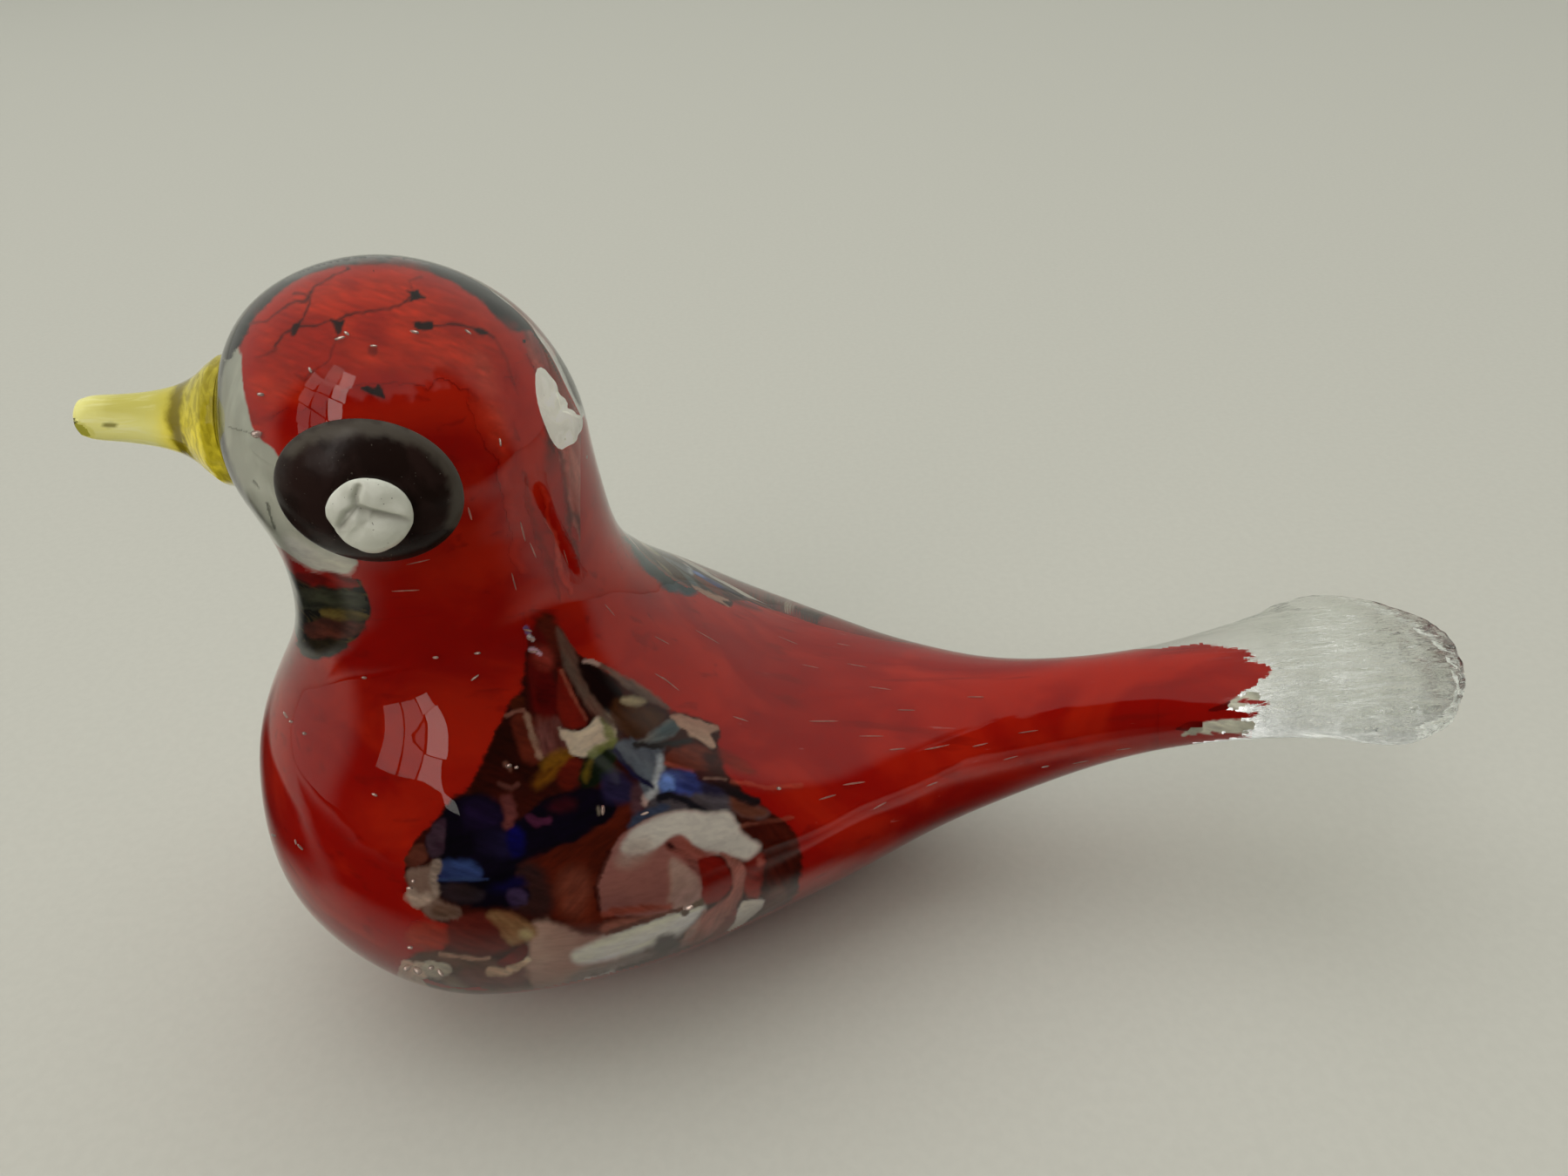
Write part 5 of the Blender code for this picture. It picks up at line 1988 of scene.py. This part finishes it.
@dataclass
class Beak:
    """The beak: a drop of glass pulled out of a ribbed, flared foot, and cut at the tip."""

    root: Vector = Vector((-0.0513, 0.0, 0.0578))
    end: Vector = Vector((-0.06460, 0.0, 0.0587))
    # Distances from the root along the beak, and the radius there, in mm
    profile: tuple[Point, ...] = (
        (0.0, 5.95), (0.5, 5.72), (1.1, 5.25), (1.8, 4.62), (2.6, 4.0), (3.5, 3.45), (4.5, 3.02),
        (5.8, 2.64), (7.4, 2.34), (9.4, 2.12), (11.5, 2.0), (12.5, 1.86), (12.95, 1.62), (13.2, 1.25),
    )
    sides: int = 72
    steps: int = 96
    rib_depth: float = 0.00012
    cut_normal: Vector = Vector((-0.386, -0.891, -0.237))
    cut_place: Vector = Vector((-0.063285, -0.001886, 0.058745))
    bubble: Point = (126, 488)  # the sealed bubble's pixel, and half its length and height there
    bubble_reach: Point = (11, 3.8)
    facet: PressedGlass = PressedGlass(
        "cut beak glass", (0.42, 0.40, 0.045), (0.50, 0.48, 0.055), (0.52, 0.50, 0.08), 0.12
    )

    def build(self, skin: Surface, view: Viewpoint) -> bpy.types.Object:
        """Builds the beak ring by ring.

        Args:
            skin: The clear casing, which the foot is shaped to with a small gap.
            view: The photograph's camera, in whose pixels the bubble is given.
        """
        ahead = (self.end - self.root).normalized()
        up = Vector((0, 1, 0)).cross(ahead).normalized()
        stations = np.linspace(0.0, self.profile[-1][0], self.steps)
        radii = np.interp(stations, *np.array(self.profile).T)
        radii = np.convolve(np.pad(radii, 4, "edge"), np.ones(9) / 9, "valid")
        radii[-4:] = np.interp(stations[-4:], *np.array(self.profile).T)
        deselect()
        bpy.ops.mesh.primitive_circle_add(vertices=self.sides, radius=START_SIZE, fill_type="NGON")
        beak = named("beak_glass")
        edit_all(beak)
        for _ in range(self.steps - 1):
            bpy.ops.mesh.extrude_region_move(TRANSFORM_OT_translate={"value": (0, 0, 0.0001)})
        close_edit()
        flow = np.ones((len(beak.data.vertices), 4))
        for index, vertex in enumerate(beak.data.vertices):
            step, turn = index // self.sides, math.tau * (index % self.sides) / self.sides
            along, radius = stations[step] * MM, radii[step] * MM
            foot = min(max(1 - along / 0.0046, 0.0), 1.0)
            wrinkle = noise.noise(Vector((math.cos(turn) * 2.2, math.sin(turn) * 2.2, along * 420)))
            pleat = noise.noise(Vector((math.cos(turn) * 9, math.sin(turn) * 9, along * 260 + 30)))
            band = math.cos(along / 0.00155 * math.tau + 2.2 * wrinkle)
            radius += self.rib_depth * foot * (0.22 * band + 0.9 * wrinkle + 1.0 * pleat)
            spoke = Vector((0, 1, 0)) * math.cos(turn) + up * math.sin(turn)
            vertex.co = self.root + ahead * along + spoke * radius
            if step == 0:
                met = skin.meet(vertex.co + ahead * 0.006, -ahead)
                vertex.co = (met[0] if met else vertex.co) + ahead * 0.0002
            seen = view.project(vertex.co)
            off = math.hypot(*((seen[axis] - self.bubble[axis]) / self.bubble_reach[axis] for axis in (0, 1)))
            sealed = min(max(2.4 - 2.4 * off, 0.0), 1.0) if vertex.co.y < 0 else 0.0
            flow[index, :3] = stations[step] / self.profile[-1][0], 0.5 + 0.5 * spoke.dot(up), sealed
        self.settle(beak, ahead)
        paint(beak, "flow", flow)
        edit_all(beak)
        bpy.ops.mesh.normals_make_consistent(inside=False)
        cut = self.cut_normal.normalized()
        bpy.ops.mesh.bisect(plane_co=self.cut_place, plane_no=cut, use_fill=True, clear_outer=True)
        close_edit()
        for face in beak.data.polygons:
            face.material_index = int(len(face.vertices) > 5 and face.normal.dot(cut) > 0.95)
        pick(beak)
        bpy.ops.object.shade_smooth_by_angle(angle=math.radians(32))
        return beak

    def settle(self, beak: bpy.types.Object, ahead: Vector) -> None:
        """Keeps each ring near the foot in front of the foot's own curved edge."""
        places = corners_of(beak).reshape(self.steps, self.sides, 3)
        axis = np.array(ahead)
        reach = places @ axis
        for step in range(1, self.steps):
            least = reach[0] + 0.00006 * step
            short = np.maximum(least - reach[step], 0)
            places[step] += short[:, None] * axis
            reach[step] += short
        set_corners(beak, places)

    def dress(self, beak: bpy.types.Object, groups: Groups) -> None:
        """Gives the beak its finish."""
        beak.data.materials.append(BeakGlass().make(groups))
        beak.data.materials.append(self.facet.make())
        keep(beak, "beak", "beak")


@dataclass
class Eye:
    """The dark disc and the dot on one side of the head."""

    side: Side
    dark: PressedGlass = PressedGlass(
        "dark brown glass",
        (0.0130, 0.0065, 0.0050), (0.022, 0.011, 0.009), (0.075, 0.063, 0.050),
        0.22, shine=0.24,
    )
    opal: PressedGlass = PressedGlass(
        "white opal glass", (0.66, 0.68, 0.59), (0.74, 0.76, 0.67), (0.25, 0.25, 0.21), 0.22, 500.0
    )
    # The dent's three arms in the dot, as the photograph shows them
    arms: tuple[tuple[Point, ...], ...] = (
        ((408, 583), (407, 572), (411, 560)),
        ((408, 583), (424, 588), (448, 594), (474, 598)),
        ((408, 583), (396, 592), (390, 604)),
    )
    dent_width: float = 4.5  # pixels
    dent_depth: float = 0.00042
    step_depth: float = 0.00034
    # The dot's own uneven outline, and the paler band along the top of the disc, a painted reflection
    dot_outline: tuple[Point, ...] = (
        (373, 583), (378, 571), (388, 560), (400, 552), (412, 549), (425, 549), (440, 552), (452, 557),
        (464, 566), (472, 578), (475, 590), (474, 601), (468, 612), (460, 622), (448, 630), (435, 635),
        (424, 635), (410, 630), (398, 622), (388, 612), (380, 602), (374, 593),
    )
    band: tuple[Point, ...] = (
        (336, 516), (352, 502), (380, 494), (412, 490), (445, 492), (478, 502), (505, 520), (522, 545),
        (528, 575), (522, 600),
    )
    band_width: float = 13.0  # pixels
    slots: int = 48  # the directions in which the round dot's own edge is measured

    def build(self, view: Viewpoint, dark: bpy.types.Material, opal: bpy.types.Material) -> None:
        """Builds and dresses both pieces.

        Args:
            view: The photograph's camera, in whose pixels the dent is given.
            dark: The disc's material.
            opal: The dot's material.
        """
        name = self.side.name.lower()
        for part, finish, slot, levels in (("disc", dark, "eye_disc", 2), ("dot", opal, "eye_dot", 3)):
            piece = node_copy(f"eye_{part}_{name}", f"{part}_glass_{name}")
            smooth(piece, levels)
            if part == "dot":
                self.squeeze(piece, view)
                self.dent(piece, view)
            else:
                self.painted_reflection_band(piece, view)
            shade(piece)
            piece.data.materials.append(finish)
            keep(piece, slot, f"eye_{part}_{name}")

    def seen(self, places: np.ndarray, view: Viewpoint) -> np.ndarray:
        """The pixels of the places, or of their mirror images on the left side."""
        return np.array([view.project(Vector((x, -abs(y), z))) for x, y, z in places])

    def squeeze(self, dot: bpy.types.Object, view: Viewpoint) -> None:
        """Gives the round dot its uneven outline."""
        places = corners_of(dot)
        middle = places.mean(axis=0)
        axis = np.linalg.svd(places - middle)[2][2]
        centre = np.array(view.project(Vector((middle[0], -abs(middle[1]), middle[2]))))
        off = self.seen(places, view) - centre
        turn, reach = np.arctan2(off[:, 1], off[:, 0]), np.hypot(off[:, 0], off[:, 1])
        bins = np.linspace(-math.pi, math.pi, self.slots + 1)
        slot = np.clip(np.digitize(turn, bins) - 1, 0, self.slots - 1)
        inside = [reach[slot == index] for index in range(self.slots)]
        edge = np.array([part.max() if len(part) else reach.max() for part in inside])
        wanted = np.array(self.dot_outline, float) - centre
        angles = np.arctan2(wanted[:, 1], wanted[:, 0])
        order = np.argsort(angles)
        lengths = np.hypot(wanted[:, 0], wanted[:, 1])[order]
        middles = (bins[:-1] + bins[1:]) / 2
        now = np.interp(turn, middles, edge, period=math.tau)
        share = np.clip(np.interp(turn, angles[order], lengths, period=math.tau) / now, 0.90, 1.06)
        flat = places - middle
        along = (flat @ axis)[:, None] * axis
        set_corners(dot, middle + along + (flat - along) * share[:, None])

    def painted_reflection_band(self, disc: bpy.types.Object, view: Viewpoint) -> None:
        """Paints a paler band along the top of the disc, a painted reflection."""
        places = corners_of(disc)
        pixels = self.seen(places, view)
        drift = Drift(17)
        ragged = 3.5 * drift.layered(pixels[:, 0] / 9, pixels[:, 1] / 9)
        away = line_distance(pixels, np.array(self.band, float)) + ragged
        share = np.clip(1.4 - away / self.band_width * 1.4, 0, 1)
        paint_share(disc, "painted_shade_and_reflection", share)

    def dent(self, dot: bpy.types.Object, view: Viewpoint) -> None:
        """Presses the forked dent into the dot's face, with painted shade in it."""
        places = corners_of(dot)
        pixels = self.seen(places, view)
        outward = np.abs(places[:, 1])
        outer = np.clip((outward - outward.min()) / (outward.max() - outward.min()) * 2.2 - 0.5, 0, 1)
        depth = np.zeros(len(places))
        for arm in self.arms:
            distance = line_distance(pixels, np.array(arm, float))
            depth = np.maximum(depth, self.dent_depth * np.exp(-((distance / self.dent_width) ** 2)))
        spine = np.interp(pixels[:, 0], (370, 390, 408, 474, 490), (620, 604, 583, 598, 601))
        below = np.clip((pixels[:, 1] - spine) / 4, 0, 1) * np.clip(1 - (pixels[:, 1] - spine) / 20, 0, 1)
        below *= np.clip((pixels[:, 0] - 386) / 8, 0, 1)
        depth += self.step_depth * below
        places[:, 1] -= np.sign(places[:, 1]) * depth * outer
        set_corners(dot, places)
        # Painted shade, darkest in the deepest part of the dent
        painted_shade_and_reflection = np.clip(depth / (self.dent_depth + self.step_depth), 0, 1) * outer * 0.85
        paint_share(dot, "painted_shade_and_reflection", painted_shade_and_reflection)


# The setting


@dataclass
class Studio:
    """The pale floor and the soft light."""

    floor_size: float = 6.0
    sheet_height: float = 0.0003
    sky: Colour = (0.47, 0.48, 0.43)
    room: Colour = (0.030, 0.029, 0.027)
    target: Vector = Vector((-0.01, 0.0, 0.03))
    window_place: Vector = Vector((-0.4955, -0.6275, 0.7515))
    window_size: Point = (0.45, 0.95)
    pane_share: Point = (0.91, 0.93)  # how much of its place a pane fills, across and up
    daylight: Colour = (1.0, 0.94, 0.88)
    # How bright each pane of the window is, row by row from its top, where lit white paper is 1
    panes: tuple[tuple[float, ...], ...] = (
        (0.0, 0.8, 2.3), (1.0, 0.8, 2.7), (0.85, 0.7, 2.8), (0.8, 0.65, 2.4), (1.0, 0.95, 1.9),
    )

    def build(self) -> None:
        """Makes the floor, the surroundings and the lights."""
        deselect()
        bpy.ops.mesh.primitive_plane_add(size=self.floor_size)
        floor = bpy.context.object
        floor.name = "floor"
        floor.data.materials.append(PaperFloor().make())
        self.surroundings()
        self.mirrored_floor()
        self.window()
        self.softbox("overhead", Vector((-0.35, 0.6, 2.4)), (3.2, 3.0), 38.0)
        self.softbox("fill", Vector((-0.55, -1.1, 1.1)), (1.2, 0.9), 5.6, colour=(1.0, 0.89, 0.86))
        bpy.context.scene.view_settings.view_transform = "Standard"

    def mirrored_floor(self) -> None:
        """Lays the sheet that only the glass mirrors, dim in front as in a room."""
        deselect()
        bpy.ops.mesh.primitive_plane_add(size=self.floor_size, location=(0, 0, self.sheet_height))
        card = bpy.context.object
        card.name = "mirrored_floor"
        card.data.materials.append(MirroredFloor().make())
        card.visible_camera = card.visible_diffuse = card.visible_transmission = card.visible_shadow = False

    def window(self) -> None:
        """Makes a soft window of panes with narrow bars between, in front on the left."""
        place, size = self.window_place, self.window_size
        away = (place - self.target).normalized()
        across = Vector((0, 0, 1)).cross(away).normalized()
        up = away.cross(across)
        width, height = size[0] / len(self.panes[0]), size[1] / len(self.panes)
        pane = (self.pane_share[0] * width, self.pane_share[1] * height)
        for row, line in enumerate(self.panes):
            for column, brightness in enumerate(line):
                right, rise = (column + 0.5) * width - size[0] / 2, size[1] / 2 - (row + 0.5) * height
                middle = place + (across * right + up * rise)
                power = math.pi * pane[0] * pane[1] * brightness
                if power:
                    name = f"pane_{row}_{column}"
                    self.softbox(name, middle, pane, power, self.daylight, mirrored=True)

    def surroundings(self) -> None:
        """A room that is bright behind the bird and dim on the camera's side."""
        world = bpy.data.worlds.new("room")
        bpy.context.scene.world = world
        world.use_nodes = True
        board = Board(world.node_tree)
        place = board.add("ShaderNodeTexCoord").outputs["Generated"]
        parts = board.add("ShaderNodeSeparateXYZ", {0: place})
        lean = board.times(parts.outputs["X"], -0.227)
        side = board.ramp(board.plus(parts.outputs["Y"], lean), -0.34, -0.08)
        clouds = board.add("ShaderNodeTexNoise", {"Vector": place, "Scale": 5.0, "Detail": 2.0}).outputs[0]
        ragged = board.times(board.minus(clouds, 0.5), 0.30)
        high = board.ramp(board.plus(parts.outputs["Z"], ragged), 0.76, 0.83)
        colour = board.mix(board.maths("MAXIMUM", side, high), self.room, self.sky)
        backdrop = world.node_tree.nodes["Background"]
        board.feed(backdrop.inputs["Color"], colour)
        backdrop.inputs["Strength"].default_value = 1.0

    def softbox(
        self,
        name: str,
        place: Vector,
        size: Point,
        power: float,
        colour: Colour = (1, 1, 1),
        mirrored: bool = False,
    ) -> None:
        """Hangs a rectangular soft light that looks at the bird.

        Args:
            name: The light's name.
            place: Where it hangs.
            size: Its width and height.
            power: Its strength in watts.
            colour: Its colour.
            mirrored: Whether the glass mirrors its shape.
        """
        data = bpy.data.lights.new(name, "AREA")
        data.shape = "RECTANGLE"
        data.size, data.size_y = size
        data.energy, data.color = power, colour
        lamp = bpy.data.objects.new(name, data)
        bpy.context.scene.collection.objects.link(lamp)
        lamp.location = place
        lamp.rotation_euler = (self.target - place).to_track_quat("-Z", "Y").to_euler()
        lamp.visible_glossy = mirrored


def main() -> None:
    """Builds and dresses the bird, then the setting."""
    logging.basicConfig(level=logging.INFO, format="%(message)s")
    groups = Groups()
    view = Viewpoint()
    view.set_up()

    casing, coat = Casing(), Coat()
    skin = casing.build()
    core = coat.build()
    sight = Sight(view, skin, core)
    marks = Marks(sight)
    coat_finish = CoatGlass().make(groups)
    coat.dress(core, marks, coat_finish)

    for sheet, side in (
        (GlassSheet("wing_glass_left", *WING_BOX, 1.8, WING_STROKES, seed=1), Side.LEFT),
        (GlassSheet("wing_glass_right", *WING_BOX, 3.0, WING_STROKES, seed=7), Side.RIGHT),
        (GlassSheet("head_glass", (240, 286), (664, 766), 2.0, HEAD_STROKES, seed=3), Side.LEFT),
        (GlassSheet("back_glass", (704, 600), (1060, 746), 2.5, BACK_STROKES, seed=5), Side.LEFT),
    ):
        sheet.build(sight, marks, coat_finish, side)
    guide = tail_guide().build()
    tail_sight = Sight(view, skin, guide)
    pick(guide)
    bpy.ops.object.delete()
    tail = GlassSheet("tail_red_glass", (1330, 730), (1482, 862), 1.4, TAIL_STROKES, seed=9, edge=0.5)
    tail.build(tail_sight, marks, coat_finish)

    for name, seeds, finish in (
        ("sparkles", SPARKLES, SeedGlass("silvery bubble", (0.80, 0.62, 0.54), 0.5)),
        ("dashes", DASHES, SeedGlass("milky thread and painted highlight", (0.62, 0.27, 0.21), 0.0, 0.5)),
        ("painted_rim_highlight", painted_rim_highlight(), SeedGlass("painted highlight thread", (0.80, 0.82, 0.76), 0.0, 0.4, 0.4)),
    ):
        Seeds(name, seeds, finish).build(sight)
    NapeFlake().build(sight)

    casing.hammer(skin)
    casing.dress(skin, groups)

    beak = Beak()
    beak.dress(beak.build(sight.casing, view), groups)
    dark, opal = Eye.dark.make(), Eye.opal.make()
    for side in Side:
        Eye(side).build(view, dark, opal)

    Studio().build()
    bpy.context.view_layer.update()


if __name__ == "__main__":
    main()
